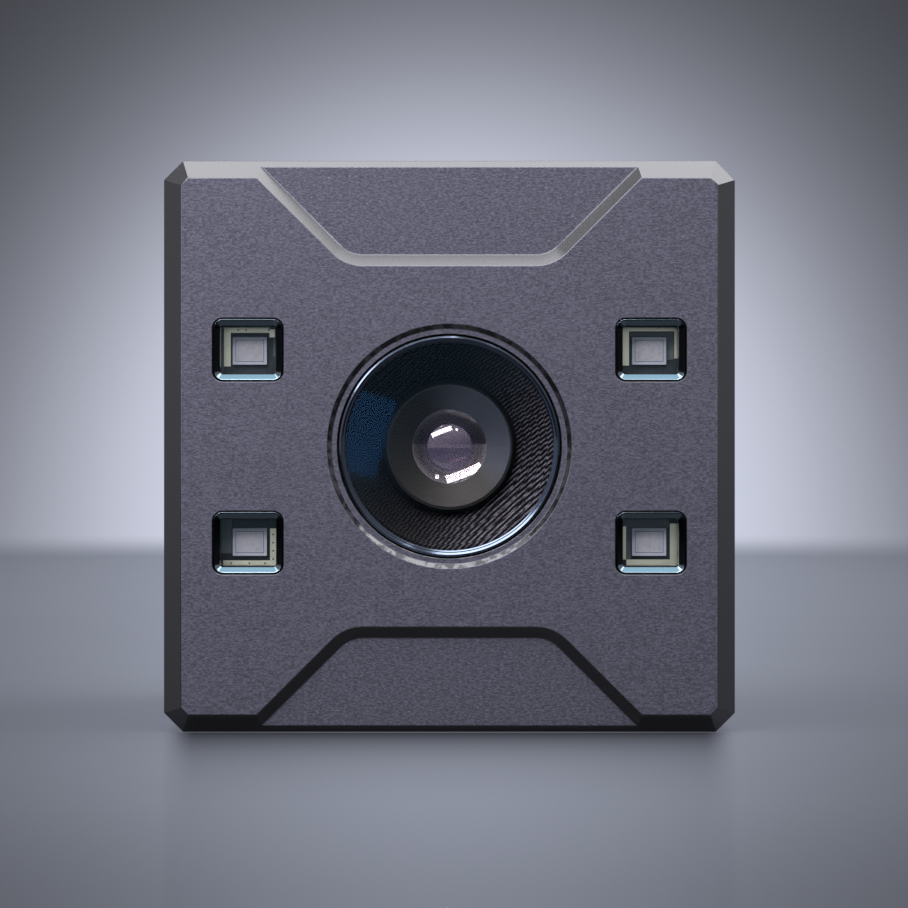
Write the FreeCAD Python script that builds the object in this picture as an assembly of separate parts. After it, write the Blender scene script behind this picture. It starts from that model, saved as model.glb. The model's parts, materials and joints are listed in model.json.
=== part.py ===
import FreeCAD, Part
import math
import os

# Machine vision camera: a sealed square housing with a fixed lens behind a round glass and
# four emitters behind small panes. Nothing on it moves.
#
# Every piece is drawn about the lens axis. The working origin is the centre of the flat
# front face, X runs to the right seen from the front, Y runs into the camera and Z runs up.
# save() then moves a piece to the part's own frame, with its origin at the middle of the
# underside. Sizes are millimetres.

AXIS = FreeCAD.Vector(0, 1, 0)
CENTRE = FreeCAD.Vector(0, 0, 0)
SHORTEST_EDGE = 1e-6

# ------------------------------------------------------------------ driving sizes: housing
FRONT_WIDTH = 60.0  # width and height of the square front
FRONT_DEPTH = 16.0  # front housing, from its face to the joint with the main body
WALL = 5.0  # side walls of front housing and main body
BEVEL = 1.9  # 45 degree bevel round the front face
FACE_CHAMFER = 0.75  # chamfer left at the corners of the flat front face
CORNER_CHAMFER = 2.0  # chamfer of the four long corner edges
REAR_THICKNESS = 6.0  # rear cover
REAR_BEVEL = 1.2  # bevel round the rear face
REAR_CHAMFER = 1.2  # chamfer left at the corners of the rear face
CAVITY_FIT = 0.3  # gap between the cavity wall and the boards in it

# The two sunk panels of the face
PANEL_EDGE = 18.9  # height of a panel's long edge from the lens axis
PANEL_HALF = 10.95  # half length of that edge, to where its sides turn 45 degrees outwards
PANEL_DEPTH = 1.2  # depth below the face, with 45 degree walls
PANEL_CORNER = 4.6  # corner radius at the face

# Cooling slots in the top and both sides of the main body
SLOT_WIDTH = 2.2
SLOT_PITCH = 4.6
SLOT_DEPTH = 2.4
SLOT_END = 4.0  # solid land at each end of the body
SLOT_MARGIN = 2.0  # least metal between a slot and a tie screw's bore

# Seals in the end faces of the main body
SEAL_MARGIN = 0.8  # land between the cavity and the groove
SEAL_WIDTH = 1.1
SEAL_DEPTH = 1.0
SEAL_FIT = 0.1  # side gap between a seal and its groove

# Tie screws, from the rear cover through the body into the front housing
TIE_INSET = 4.6  # from the side faces to the screw's axis
TIE_RADIUS = 1.5
TIE_HEAD_RADIUS = 2.75
TIE_HEAD_HEIGHT = 3.0
TIE_GRIP = 8.0  # thread engaged in the front housing
TIE_LAND = 1.1  # metal between a tie screw's bore and the seal groove
KEY_RADIUS = 1.45  # hexagon socket in a screw head, to its corners
KEY_DEPTH = 1.5
BORE_FIT = 0.2  # radial gap of a screw in a plain hole
HEAD_FIT = 0.25  # gap round and behind a sunk screw head
THREAD_FIT = 0.05  # radial gap of a screw in its thread
DRILL_TIP = 0.6  # depth that a blind hole has past its screw

# Tapped mounting holes in the underside
MOUNT_SPACING_X = 40.0
MOUNT_SPACING_Y = 30.0
MOUNT_RADIUS = 1.65
MOUNT_DEPTH = 4.0

# ------------------------------------------------------------- driving sizes: lens window
STEP_RADIUS = 12.8  # shallow step round the lens port, at the face
STEP_DEPTH = 0.4
STEP_SLOPE = 0.45  # width of the step's sloping wall
GLASS_RADIUS = 11.6
GLASS_THICKNESS = 2.0
GLASS_RIM = 0.2  # flat rim of the glass
GLASS_SLOPE = 0.46  # width of the slope from the rim down to the dished middle
GLASS_DISH = 0.13  # depth of the dished middle
GLASS_SINK = 0.2  # rim of the glass below the step
GLASS_FIT = 0.15
GLASS_SEAL = 0.3  # thickness of the seal under the glass
PORT_LEDGE = 0.65  # width of the ledge that the glass and its seal sit on
LEDGE_THICKNESS = 1.1

# Ridged baffle between the glass and the lens
BAFFLE_LENGTH = 8.5
BAFFLE_REAR_RADIUS = 7.25
BAFFLE_INSET = 0.25  # front mouth inside the port
BAFFLE_WALL = 1.2
BAFFLE_FLANGE = 1.7  # width of the clamped flange
RIDGE_COUNT = 12
GROOVE_DEPTH = 0.3  # of the groove behind each ridge

# ---------------------------------------------------------------- driving sizes: emitters
EMITTER_RISE = 10.1  # height of the emitters from the lens axis
WINDOW_WIDTH = 7.45
WINDOW_HEIGHT = 6.65
WINDOW_CORNER = 1.1
WINDOW_LEDGE_X = 0.75  # ledge under a pane, at its sides
WINDOW_LEDGE_Z = 0.875  # ledge under a pane, above and below
WINDOW_EDGE = 0.925  # from the clear opening to the cavity wall
PANE_FIT = 0.1
PANE_SINK = 0.15
PANE_THICKNESS = 1.5
PANE_RIM = 0.14  # flat rim of a pane
PANE_SLOPE = 0.55  # 45 degree slope inside the rim
PANE_DISH = 0.6  # depth of the sunk middle
PANE_SEAL = 0.25
LEAST_CORNER = 0.1

PACKAGE_WIDTH = 3.6
PACKAGE_HEIGHT = 2.9
PACKAGE_RISE = 0.85
FILL_WIDTH = 2.7  # filled window of the emitter package
FILL_HEIGHT = 2.07
FILL_DEPTH = 0.4

# ------------------------------------------------------------------- driving sizes: boards
BOARD_THICKNESS = 1.6
BOSS_HEIGHT = 1.2
BOSS_RADIUS = 2.4
PAD_THICKNESS = 0.5
PAD_INSET = 1.5
SPREADER_THICKNESS = 3.0
STACK_INSET_X = 8.0  # standoffs, from the cavity wall
STACK_INSET_Z = 5.0
STUD_RADIUS = 0.95
STANDOFF_FLATS = 4.0
STUD_GRIP = 2.0
FRONT_STANDOFF = 19.7
MIDDLE_STANDOFF = 12.0
REAR_STANDOFF = 12.0
SMALL_HEAD_RADIUS = 1.9
SMALL_HEAD_HEIGHT = 1.3
REAR_SPACE = 5.2  # from the rear board to the rear cover

LINK_WIDTH = 22.0  # board-to-board connectors
LINK_HEIGHT = 5.0
LINK_SHOULDER = 0.8
LINK_DROP = 15.0
PROCESSOR_WIDTH = 17.0
PROCESSOR_THICKNESS = 2.0
MEMORY_WIDTH = 9.0
MEMORY_HEIGHT = 13.0
MEMORY_THICKNESS = 1.2
MEMORY_GAP = 2.0
TRANSFORMER_WIDTH = 14.0
TRANSFORMER_HEIGHT = 9.0
TRANSFORMER_THICKNESS = 4.0
TRANSFORMER_RISE = 8.0

# --------------------------------------------------------------------- driving sizes: lens
NOSE_DEPTH = 10.5  # lens nose behind the front face
HEAD_RADIUS = 6.75
HEAD_LENGTH = 8.0
THREAD_RADIUS = 5.95
THREAD_LENGTH = 7.5
LENS_FIT = 0.05
ELEMENT_RADIUS = 5.35
REAR_ELEMENT_RADIUS = 4.3
NOSE_RIM = 0.15
NOSE_MOUTH = 4.0
NOSE_LAND = 0.1  # flat outer edge of the dished ring
NOSE_DISH = 0.6
NOSE_LENGTH = 2.4
FRONT_EDGE = 1.4  # edge thickness of the glass elements
MIDDLE_EDGE = 1.6
REAR_EDGE = 1.8
FRONT_BULGE = 1.1  # height of the round faces of the elements
FRONT_HOLLOW = 0.5
MIDDLE_BULGE = 0.5
REAR_BULGE = 0.45
SPACER_LENGTH = 1.9
STOP_THICKNESS = 0.3
STOP_RADIUS = 1.8
WEB_LENGTH = 1.4  # web of the barrel between the middle and rear elements
WEB_RADIUS = 3.5

LOCK_THICKNESS = 1.8
LOCK_RADIUS = 8.4
LOCK_NOTCH = 1.4
HOLDER_RADIUS = 7.8
HOLDER_BASE_WIDTH = 27.0
HOLDER_BASE_HEIGHT = 17.5
HOLDER_BASE = 3.2
HOLDER_SCREW_X = 11.0
HOLDER_CORNER = 2.0
HOLDER_SEAT = 0.8
SENSOR_ROOM = 0.7  # gap round the sensor inside its holder
FILTER_WIDTH = 9.5
FILTER_THICKNESS = 0.55
FILTER_CLEAR = 7.0
SENSOR_WIDTH = 12.0
SENSOR_THICKNESS = 1.3
SENSOR_GLASS_WIDTH = 10.5
SENSOR_GLASS = 0.5

# ----------------------------------------------------------------- driving sizes: sockets
SOCKET_GAP = 2.5  # gap between a socket's nut and the cavity wall
SOCKET_DROP = 5.0
SOCKET_PROTRUSION = 7.5
FLANGE_RADIUS = 9.5
FLANGE_THICKNESS = 2.5
FLANGE_SINK = 1.0
FLANGE_FIT = 0.2
NECK_RADIUS = 7.9
NECK_TAIL = 0.2  # neck past its nut
NUT_FLATS = 19.0
NUT_THICKNESS = 3.0
DATA_COLLAR = 7.6
DATA_MOUTH = 5.45
DATA_MOUTH_DEPTH = 8.0
POWER_COLLAR = 6.0
INSERT_RADIUS = 4.2
INSERT_FLANGE_RADIUS = 5.2
INSERT_FLANGE = 2.0
INSERT_RECESS = 0.8
POWER_FACE_DEPTH = 7.0
PIN_RECESS = 1.3
CONTACT_RADIUS = 0.4
CONTACT_CIRCLE = 3.05
CONTACT_SPREAD = 21.0  # degrees of a contact from the middle of its quarter
INNER_CIRCLE = 1.2
SCREEN_THICKNESS = 0.5
SCREEN_ROOT = 3.5
LIGHT_RADIUS = 1.0
LIGHT_SPACING = 6.0
LIGHT_RISE = 13.0
LIGHT_FLANGE_RADIUS = 1.6
LIGHT_FLANGE = 0.8
LIGHT_CHIP = 0.8

# ------------------------------------------------------------------------ derived layout
half_width = FRONT_WIDTH / 2
cavity_half = half_width - WALL
tie_offset = half_width - TIE_INSET
tie_bore = TIE_RADIUS + BORE_FIT
groove_width = SEAL_WIDTH + 2 * SEAL_FIT
# The cavity's corners are round enough to leave the seal groove and metal beside the bores
corner_land = SEAL_MARGIN + groove_width + TIE_LAND + tie_bore
root_two = math.sqrt(2)
cavity_corner = (corner_land - root_two * (tie_offset - cavity_half)) / (root_two - 1)

port_bore = GLASS_RADIUS + GLASS_FIT
port_clear = GLASS_RADIUS - PORT_LEDGE
glass_front = STEP_DEPTH + GLASS_SINK
glass_back = glass_front + GLASS_THICKNESS
ledge_depth = glass_back + GLASS_SEAL
front_wall = ledge_depth + LEDGE_THICKNESS

pane_back = PANE_SINK + PANE_THICKNESS
pocket_depth = pane_back + PANE_SEAL
clear_width = WINDOW_WIDTH - 2 * WINDOW_LEDGE_X
clear_height = WINDOW_HEIGHT - 2 * WINDOW_LEDGE_Z
emitter_x = cavity_half - WINDOW_EDGE - clear_width / 2
CORNERS = {
    "top_left": (-emitter_x, EMITTER_RISE),
    "top_right": (emitter_x, EMITTER_RISE),
    "bottom_left": (-emitter_x, -EMITTER_RISE),
    "bottom_right": (emitter_x, -EMITTER_RISE),
}

stack_x = cavity_half - STACK_INSET_X
stack_z = cavity_half - STACK_INSET_Z
STACK = [(sx * stack_x, sz * stack_z) for sx in (-1, 1) for sz in (-1, 1)]
TIES = [(sx * tie_offset, sz * tie_offset) for sx in (-1, 1) for sz in (-1, 1)]
HOLDER_SCREWS = (-HOLDER_SCREW_X, HOLDER_SCREW_X)
stud_bore = STUD_RADIUS + BORE_FIT

emitter_board_front = front_wall + BOSS_HEIGHT
pad_front = emitter_board_front + BOARD_THICKNESS
spreader_front = pad_front + PAD_THICKNESS
spreader_back = spreader_front + SPREADER_THICKNESS
sensor_board_front = spreader_back + FRONT_STANDOFF
sensor_board_back = sensor_board_front + BOARD_THICKNESS
processor_board_front = sensor_board_back + MIDDLE_STANDOFF
processor_board_back = processor_board_front + BOARD_THICKNESS
rear_board_front = processor_board_back + REAR_STANDOFF
rear_board_back = rear_board_front + BOARD_THICKNESS
body_back = rear_board_back + REAR_SPACE
body_length = body_back - FRONT_DEPTH
rear_face = body_back + REAR_THICKNESS
overall_depth = rear_face + SOCKET_PROTRUSION

baffle_mouth = port_clear - BAFFLE_INSET
baffle_slope = (baffle_mouth - BAFFLE_REAR_RADIUS) / BAFFLE_LENGTH
baffle_board_hole = baffle_mouth + BAFFLE_WALL + CAVITY_FIT
flange_radius = baffle_board_hole + BAFFLE_FLANGE

thread_start = NOSE_DEPTH + HEAD_LENGTH
barrel_back = thread_start + THREAD_LENGTH
barrel_bore = ELEMENT_RADIUS + LENS_FIT
lock_front = thread_start + BORE_FIT
holder_front = lock_front + LOCK_THICKNESS
holder_bore = THREAD_RADIUS + THREAD_FIT
seat_front = barrel_back + BORE_FIT
sensor_front = sensor_board_front - SENSOR_THICKNESS
optic_radius = NOSE_MOUTH - LENS_FIT
front_element_depth = NOSE_DEPTH + NOSE_LENGTH
spacer_depth = front_element_depth + FRONT_EDGE
stop_depth = spacer_depth + SPACER_LENGTH
middle_element_depth = stop_depth + STOP_THICKNESS
web_front = middle_element_depth + MIDDLE_EDGE
rear_element_depth = web_front + WEB_LENGTH
rear_ring_depth = rear_element_depth + REAR_EDGE

socket_x = cavity_half - SOCKET_GAP - NUT_FLATS / 2
socket_back = body_back - NUT_THICKNESS - NECK_TAIL
socket_mouth = rear_face + SOCKET_PROTRUSION
insert_bore = INSERT_RADIUS + LENS_FIT
data_floor = socket_mouth - DATA_MOUTH_DEPTH
data_face = socket_mouth - INSERT_RECESS
power_face = socket_mouth - POWER_FACE_DEPTH
screen_back = data_floor - SCREEN_ROOT


# --------------------------------------------------------------------------- drawing aids
def cylinder(radius, start, length, x=0.0, z=0.0):
    """Cylinder along Y from depth start, centred at x, z."""
    return Part.makeCylinder(radius, length, FreeCAD.Vector(x, start, z), AXIS)


def block(width, height, start, length, x=0.0, z=0.0):
    """Box centred at x, z that runs from depth start."""
    corner = FreeCAD.Vector(x - width / 2, start, z - height / 2)
    return Part.makeBox(width, length, height, corner)


def turned(profile):
    """Solid turned about the lens axis from (radius, depth) corners."""
    corners = [FreeCAD.Vector(radius, depth, 0) for radius, depth in profile]
    return Part.Face(Part.makePolygon(corners + corners[:1])).revolve(CENTRE, AXIS, 360)


def rounded_outline(points, radii, depth):
    """Closed wire at one depth through (x, z) corners, each rounded by its radius."""
    corners = [FreeCAD.Vector(x, depth, z) for x, z in points]
    stations = []
    for index, corner in enumerate(corners):
        back = (corners[index - 1] - corner).normalize()
        ahead = (corners[(index + 1) % len(corners)] - corner).normalize()
        half_angle = back.getAngle(ahead) / 2
        reach = radii[index] / math.tan(half_angle)
        rise = radii[index] * (1 / math.sin(half_angle) - 1)
        inward = (back + ahead).normalize()
        stations.append((corner + back * reach, corner + inward * rise, corner + ahead * reach))
    edges = []
    for index, (start, middle, end) in enumerate(stations):
        edges.append(Part.Arc(start, middle, end).toShape())
        following = stations[(index + 1) % len(stations)][0]
        if end.distanceToPoint(following) > SHORTEST_EDGE:
            edges.append(Part.makeLine(end, following))
    return Part.Wire(edges)


def rectangle(width, height, radius, depth, x=0.0, z=0.0):
    """Closed rectangular wire with rounded corners, centred at x, z."""
    w, h = width / 2, height / 2
    points = [(x - w, z - h), (x + w, z - h), (x + w, z + h), (x - w, z + h)]
    return rounded_outline(points, [radius] * 4, depth)


def polygon(points, depth):
    """Closed wire of straight edges at one depth through (x, z) corners."""
    corners = [FreeCAD.Vector(x, depth, z) for x, z in points]
    return Part.makePolygon(corners + corners[:1])


def prism(wire, length):
    """Solid that runs straight back from a flat wire."""
    return Part.Face(wire).extrude(AXIS * length)


def frustum(front, back):
    """Solid with flat sides between two wires that have as many straight edges."""
    faces = [Part.Face(front), Part.Face(back)]
    for near, far in zip(front.OrderedVertexes, back.OrderedVertexes):
        index = len(faces) - 2
        following = (index + 1) % len(front.OrderedVertexes)
        next_near, next_far = front.OrderedVertexes[following], back.OrderedVertexes[following]
        corners = [near.Point, next_near.Point, next_far.Point, far.Point, near.Point]
        faces.append(Part.Face(Part.makePolygon(corners)))
    return Part.Solid(Part.Shell(faces))


def octagon(width, chamfer, depth):
    """Closed wire of a square with chamfered corners."""
    w, c = width / 2, width / 2 - chamfer
    points = [(-c, -w), (c, -w), (w, -c), (w, c), (c, w), (-c, w), (-w, c), (-w, -c)]
    return polygon(points, depth)


def hexagon(flats, start, length, x=0.0, z=0.0):
    """Hexagonal prism with two flats facing left and right."""
    reach = flats / math.sqrt(3)
    turns = [math.radians(30 + 60 * step) for step in range(6)]
    corners = [(x + reach * math.cos(turn), z + reach * math.sin(turn)) for turn in turns]
    return prism(polygon(corners, start), length)


def joined(shapes):
    """One solid from shapes that meet."""
    return shapes[0].fuse(shapes[1:]).removeSplitter()


def save(name, shapes):
    """Write one sub-part, moved to the frame whose origin is the middle of the underside."""
    solids = shapes if isinstance(shapes, list) else [shapes]
    placed = [solid.translated(FreeCAD.Vector(0, -overall_depth / 2, half_width)) for solid in solids]
    result = placed[0] if len(placed) == 1 else Part.makeCompound(placed)
    result.exportStep(f"parts/{name}.step")


# -------------------------------------------------------------------------------- housing
def cavity(start, length, inset=0.0):
    """Square space with round corners inside the housing, or a piece that fits in it."""
    width = 2 * (cavity_half - inset)
    return prism(rectangle(width, width, cavity_corner - inset, start), length)


def port_step():
    """Cutter of the shallow step round the port, wider at the face than at its floor."""
    sides = [(STEP_RADIUS + STEP_SLOPE, -STEP_DEPTH), (STEP_RADIUS - STEP_SLOPE, STEP_DEPTH)]
    return turned([(0, -STEP_DEPTH)] + sides + [(0, STEP_DEPTH)])


def cap_block(length, bevel, chamfer):
    """Block of the housing's section whose front edges are bevelled all round."""
    flat = octagon(FRONT_WIDTH - 2 * bevel, chamfer, 0)
    full = octagon(FRONT_WIDTH, CORNER_CHAMFER, bevel)
    return joined([frustum(flat, full), prism(full, length - bevel)])


def panel_outline(offset, depth):
    """Sharp-cornered trapezoid of a sunk panel with its sides moved outwards by offset."""
    edge = PANEL_EDGE - offset
    top = half_width + BEVEL
    near = PANEL_HALF + offset * (root_two - 1)
    far = near + top - edge
    return polygon([(-near, edge), (near, edge), (far, top), (-far, top)], depth)


def panel_corner(side):
    """What rounds one lower corner of the panel cutter off: a kite outside a cone."""
    lift = PANEL_DEPTH
    widest = PANEL_CORNER + lift
    x = side * (PANEL_HALF - PANEL_CORNER * (root_two - 1))
    z = PANEL_EDGE + PANEL_CORNER
    tip = side * widest * (root_two - 1)
    slant = widest / root_two
    kite = [(x, z), (x, z - widest), (x + tip, z - widest), (x + side * slant, z - slant)]
    base = FreeCAD.Vector(x, -lift, z)
    cone = Part.makeCone(widest, PANEL_CORNER - PANEL_DEPTH, lift + PANEL_DEPTH, base, AXIS)
    return prism(polygon(kite, -lift), lift + PANEL_DEPTH).cut(cone)


def panel_cutter():
    """Tapered block that sinks the upper panel: it widens by as much as it rises."""
    sharp = frustum(panel_outline(PANEL_DEPTH, -PANEL_DEPTH), panel_outline(-PANEL_DEPTH, PANEL_DEPTH))
    return sharp.cut([panel_corner(-1), panel_corner(1)])


def front_housing():
    """Bevelled front with sunk panels, lens port, emitter windows, bosses and tie threads."""
    body = cap_block(FRONT_DEPTH, BEVEL, FACE_CHAMFER).cut(cavity(front_wall, FRONT_DEPTH - front_wall))
    panel = panel_cutter()
    cuts = [panel, panel.rotated(CENTRE, AXIS, 180)]
    cuts.append(port_step())
    cuts.append(cylinder(port_bore, 0, ledge_depth))
    cuts.append(cylinder(port_clear, 0, front_wall))
    for x, z in CORNERS.values():
        cuts.append(prism(rectangle(WINDOW_WIDTH, WINDOW_HEIGHT, WINDOW_CORNER, 0, x, z), pocket_depth))
        cuts.append(prism(window_clear(0, x, z), front_wall))
    for x, z in TIES:
        depth = TIE_GRIP + DRILL_TIP
        cuts.append(cylinder(TIE_RADIUS + THREAD_FIT, FRONT_DEPTH - depth, depth, x, z))
    body = body.cut(cuts)
    bosses = [cylinder(BOSS_RADIUS, front_wall, BOSS_HEIGHT, x, z) for x, z in STACK]
    threads = []
    for x, z in STACK:
        depth = STUD_GRIP + DRILL_TIP
        threads.append(cylinder(STUD_RADIUS + THREAD_FIT, emitter_board_front - depth, depth, x, z))
    return joined([body] + bosses).cut(threads)


def slot_cutter(place):
    """Round-ended slot in the top of the main body, at x = place."""
    length = body_length - 2 * SLOT_END
    slot = prism(rectangle(SLOT_WIDTH, length, SLOT_WIDTH / 2, 0), SLOT_DEPTH)
    slot = slot.rotated(CENTRE, FreeCAD.Vector(1, 0, 0), 90)
    return slot.translated(FreeCAD.Vector(place, FRONT_DEPTH + body_length / 2, half_width - SLOT_DEPTH))


def seal_ring(start, depth, width, margin):
    """Square ring of rubber section, or its groove, round the cavity."""
    outer = cavity(start, depth, -margin - width)
    return outer.cut(cavity(start, depth, -margin))


def main_body():
    """Square tube with cooling slots, seal grooves, tie bores and mounting threads."""
    outside = prism(octagon(FRONT_WIDTH, CORNER_CHAMFER, FRONT_DEPTH), body_length)
    cuts = [cavity(FRONT_DEPTH, body_length)]
    for start in (FRONT_DEPTH, body_back - SEAL_DEPTH):
        cuts.append(seal_ring(start, SEAL_DEPTH, groove_width, SEAL_MARGIN))
    for x, z in TIES:
        cuts.append(cylinder(tie_bore, FRONT_DEPTH, body_length, x, z))
    reach = tie_offset - tie_bore - SLOT_MARGIN - SLOT_WIDTH / 2
    side_count = int(reach / SLOT_PITCH)
    for step in range(-side_count, side_count + 1):
        slot = slot_cutter(step * SLOT_PITCH)
        cuts.extend(slot.rotated(CENTRE, AXIS, turn) for turn in (0, 90, -90))
    middle = FRONT_DEPTH + body_length / 2
    for sx in (-1, 1):
        for sy in (-1, 1):
            foot = FreeCAD.Vector(sx * MOUNT_SPACING_X / 2, middle + sy * MOUNT_SPACING_Y / 2, -half_width)
            cuts.append(Part.makeCylinder(MOUNT_RADIUS, MOUNT_DEPTH, foot, FreeCAD.Vector(0, 0, 1)))
    return outside.cut(cuts)


def light_places():
    """Places (x, z) of the status lights in the rear cover."""
    return [(step * LIGHT_SPACING, LIGHT_RISE) for step in (-1, 0, 1)]


def rear_cover():
    """Bevelled rear plate with sunk screw heads, two socket holes and status light holes."""
    plate = cap_block(REAR_THICKNESS, REAR_BEVEL, REAR_CHAMFER)
    plate = plate.rotated(CENTRE, FreeCAD.Vector(0, 0, 1), 180)
    plate = plate.translated(AXIS * rear_face)
    cuts = []
    for x, z in TIES:
        sink = TIE_HEAD_HEIGHT + HEAD_FIT
        cuts.append(cylinder(TIE_HEAD_RADIUS + HEAD_FIT, rear_face - sink, sink, x, z))
        cuts.append(cylinder(tie_bore, body_back, REAR_THICKNESS, x, z))
    for x in (-socket_x, socket_x):
        cuts.append(cylinder(NECK_RADIUS + BORE_FIT, body_back, REAR_THICKNESS, x, -SOCKET_DROP))
        cuts.append(
            cylinder(FLANGE_RADIUS + FLANGE_FIT, rear_face - FLANGE_SINK, FLANGE_SINK, x, -SOCKET_DROP)
        )
    for x, z in light_places():
        cuts.append(cylinder(LIGHT_RADIUS + LENS_FIT, body_back, REAR_THICKNESS, x, z))
    return plate.cut(cuts)


def tie_screws():
    """Four long cap screws that pull rear cover, body and front housing together."""
    seat = rear_face - TIE_HEAD_HEIGHT - HEAD_FIT
    screws = []
    for x, z in TIES:
        shank = cylinder(TIE_RADIUS, FRONT_DEPTH - TIE_GRIP, seat - FRONT_DEPTH + TIE_GRIP, x, z)
        head = cylinder(TIE_HEAD_RADIUS, seat, TIE_HEAD_HEIGHT, x, z)
        key = hexagon(KEY_RADIUS * math.sqrt(3), seat + TIE_HEAD_HEIGHT - KEY_DEPTH, KEY_DEPTH, x, z)
        screws.append(joined([shank, head]).cut(key))
    return screws


# -------------------------------------------------------------------- lens window, baffle
def cover_window():
    """Round glass with a flat rim that slopes down to its dished middle."""
    rim = GLASS_RADIUS - GLASS_RIM
    return turned([
        (0, glass_front + GLASS_DISH),
        (rim - GLASS_SLOPE, glass_front + GLASS_DISH),
        (rim, glass_front),
        (GLASS_RADIUS, glass_front),
        (GLASS_RADIUS, glass_back),
        (0, glass_back),
    ])


def cover_window_seal():
    """Flat ring between the glass and its ledge."""
    return cylinder(GLASS_RADIUS, glass_back, GLASS_SEAL).cut(cylinder(port_clear, glass_back, GLASS_SEAL))


def baffle_cone():
    """Cone that narrows towards the lens, grooved inside to swallow stray light."""
    pitch = BAFFLE_LENGTH / RIDGE_COUNT
    back = front_wall + BAFFLE_LENGTH
    inside = []
    for ridge in range(RIDGE_COUNT):
        crest = baffle_mouth - baffle_slope * ridge * pitch
        depth = front_wall + ridge * pitch
        inside.append((crest, depth))
        inside.append((crest + GROOVE_DEPTH, depth + pitch / 2))
    inside.append((BAFFLE_REAR_RADIUS, back))
    outside = [
        (BAFFLE_REAR_RADIUS + BAFFLE_WALL, back),
        (baffle_mouth + BAFFLE_WALL - baffle_slope * BOSS_HEIGHT, emitter_board_front),
        (flange_radius, emitter_board_front),
        (flange_radius, front_wall),
    ]
    return turned(inside + outside)


# ------------------------------------------------------------------------------- emitters
def window_clear(depth, x, z):
    """Wire of the clear opening behind an emitter's pane."""
    corner = max(LEAST_CORNER, WINDOW_CORNER - WINDOW_LEDGE_X)
    return rectangle(clear_width, clear_height, corner, depth, x, z)


def emitter_window(x, z):
    """Small pane with a flat rim that slopes down to its sunk middle."""
    corner = max(LEAST_CORNER, WINDOW_CORNER - PANE_FIT)
    outer = (WINDOW_WIDTH - 2 * PANE_FIT, WINDOW_HEIGHT - 2 * PANE_FIT, corner)
    inset = PANE_RIM + PANE_SLOPE
    inner = (outer[0] - 2 * inset, outer[1] - 2 * inset, max(LEAST_CORNER, corner - inset))
    pane = prism(rectangle(*outer, PANE_SINK, x, z), PANE_THICKNESS)
    pane = pane.cut(prism(rectangle(*inner, PANE_SINK, x, z), PANE_DISH))
    rim = min(pane.Faces, key=lambda face: face.CenterOfMass.y)
    return pane.makeChamfer(PANE_SLOPE, min(rim.Wires, key=lambda wire: wire.Length).Edges)


def emitter_window_seal(x, z):
    """Flat rubber frame between a pane and its ledge."""
    corner = max(LEAST_CORNER, WINDOW_CORNER - PANE_FIT)
    outer = rectangle(WINDOW_WIDTH - 2 * PANE_FIT, WINDOW_HEIGHT - 2 * PANE_FIT, corner, pane_back, x, z)
    return prism(outer, PANE_SEAL).cut(prism(window_clear(pane_back, x, z), PANE_SEAL))


def emitter_package(x, z):
    """Emitter body with the well that its clear fill sits in."""
    front = emitter_board_front - PACKAGE_RISE
    body = block(PACKAGE_WIDTH, PACKAGE_HEIGHT, front, PACKAGE_RISE, x, z)
    return body.cut(emitter_fill(x, z))


def emitter_fill(x, z):
    """Clear fill of an emitter, level with the top of its package."""
    return block(FILL_WIDTH, FILL_HEIGHT, emitter_board_front - PACKAGE_RISE, FILL_DEPTH, x, z)


def sheet(start, thickness, inset, hole=0.0):
    """Sheet that fits the cavity, with holes for the standoffs and one for the lens."""
    blank = cavity(start, thickness, inset)
    holes = [cylinder(stud_bore, start, thickness, x, z) for x, z in STACK]
    if hole > 0:
        holes.append(cylinder(hole, start, thickness))
    return blank.cut(holes)


# ----------------------------------------------------------------------------------- lens
def bored(outer, inner, start, length):
    """Plain turned ring."""
    return cylinder(outer, start, length).cut(cylinder(inner, start, length))


def lens_barrel():
    """Turned barrel: plain head, threaded tail, and stepped bores for the glass inside."""
    return turned([
        (HEAD_RADIUS, NOSE_DEPTH),
        (HEAD_RADIUS, thread_start),
        (THREAD_RADIUS, thread_start),
        (THREAD_RADIUS, barrel_back),
        (REAR_ELEMENT_RADIUS + LENS_FIT, barrel_back),
        (REAR_ELEMENT_RADIUS + LENS_FIT, rear_element_depth),
        (WEB_RADIUS, rear_element_depth),
        (WEB_RADIUS, web_front),
        (barrel_bore, web_front),
        (barrel_bore, front_element_depth),
        (HEAD_RADIUS - NOSE_RIM, front_element_depth),
        (HEAD_RADIUS - NOSE_RIM, NOSE_DEPTH),
    ])


def lens_nose_ring():
    """Dished ring that holds the front element in the barrel."""
    outer = HEAD_RADIUS - NOSE_RIM - LENS_FIT
    return turned([
        (outer, NOSE_DEPTH),
        (outer, front_element_depth),
        (NOSE_MOUTH, front_element_depth),
        (NOSE_MOUTH, NOSE_DEPTH + NOSE_DISH),
        (outer - NOSE_LAND, NOSE_DEPTH),
    ])


def face_arc(radius, depth, bulge):
    """Half the section of a round face, from its rim to the apex that bulges along Y."""
    sphere = (radius**2 + bulge**2) / (2 * bulge)
    half_angle = math.asin(radius / abs(sphere)) / 2
    across = abs(sphere) * math.sin(half_angle)
    middle = FreeCAD.Vector(across, depth + bulge - sphere * (1 - math.cos(half_angle)), 0)
    rim = FreeCAD.Vector(radius, depth, 0)
    return Part.Arc(rim, middle, FreeCAD.Vector(0, depth + bulge, 0)).toShape()


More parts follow.
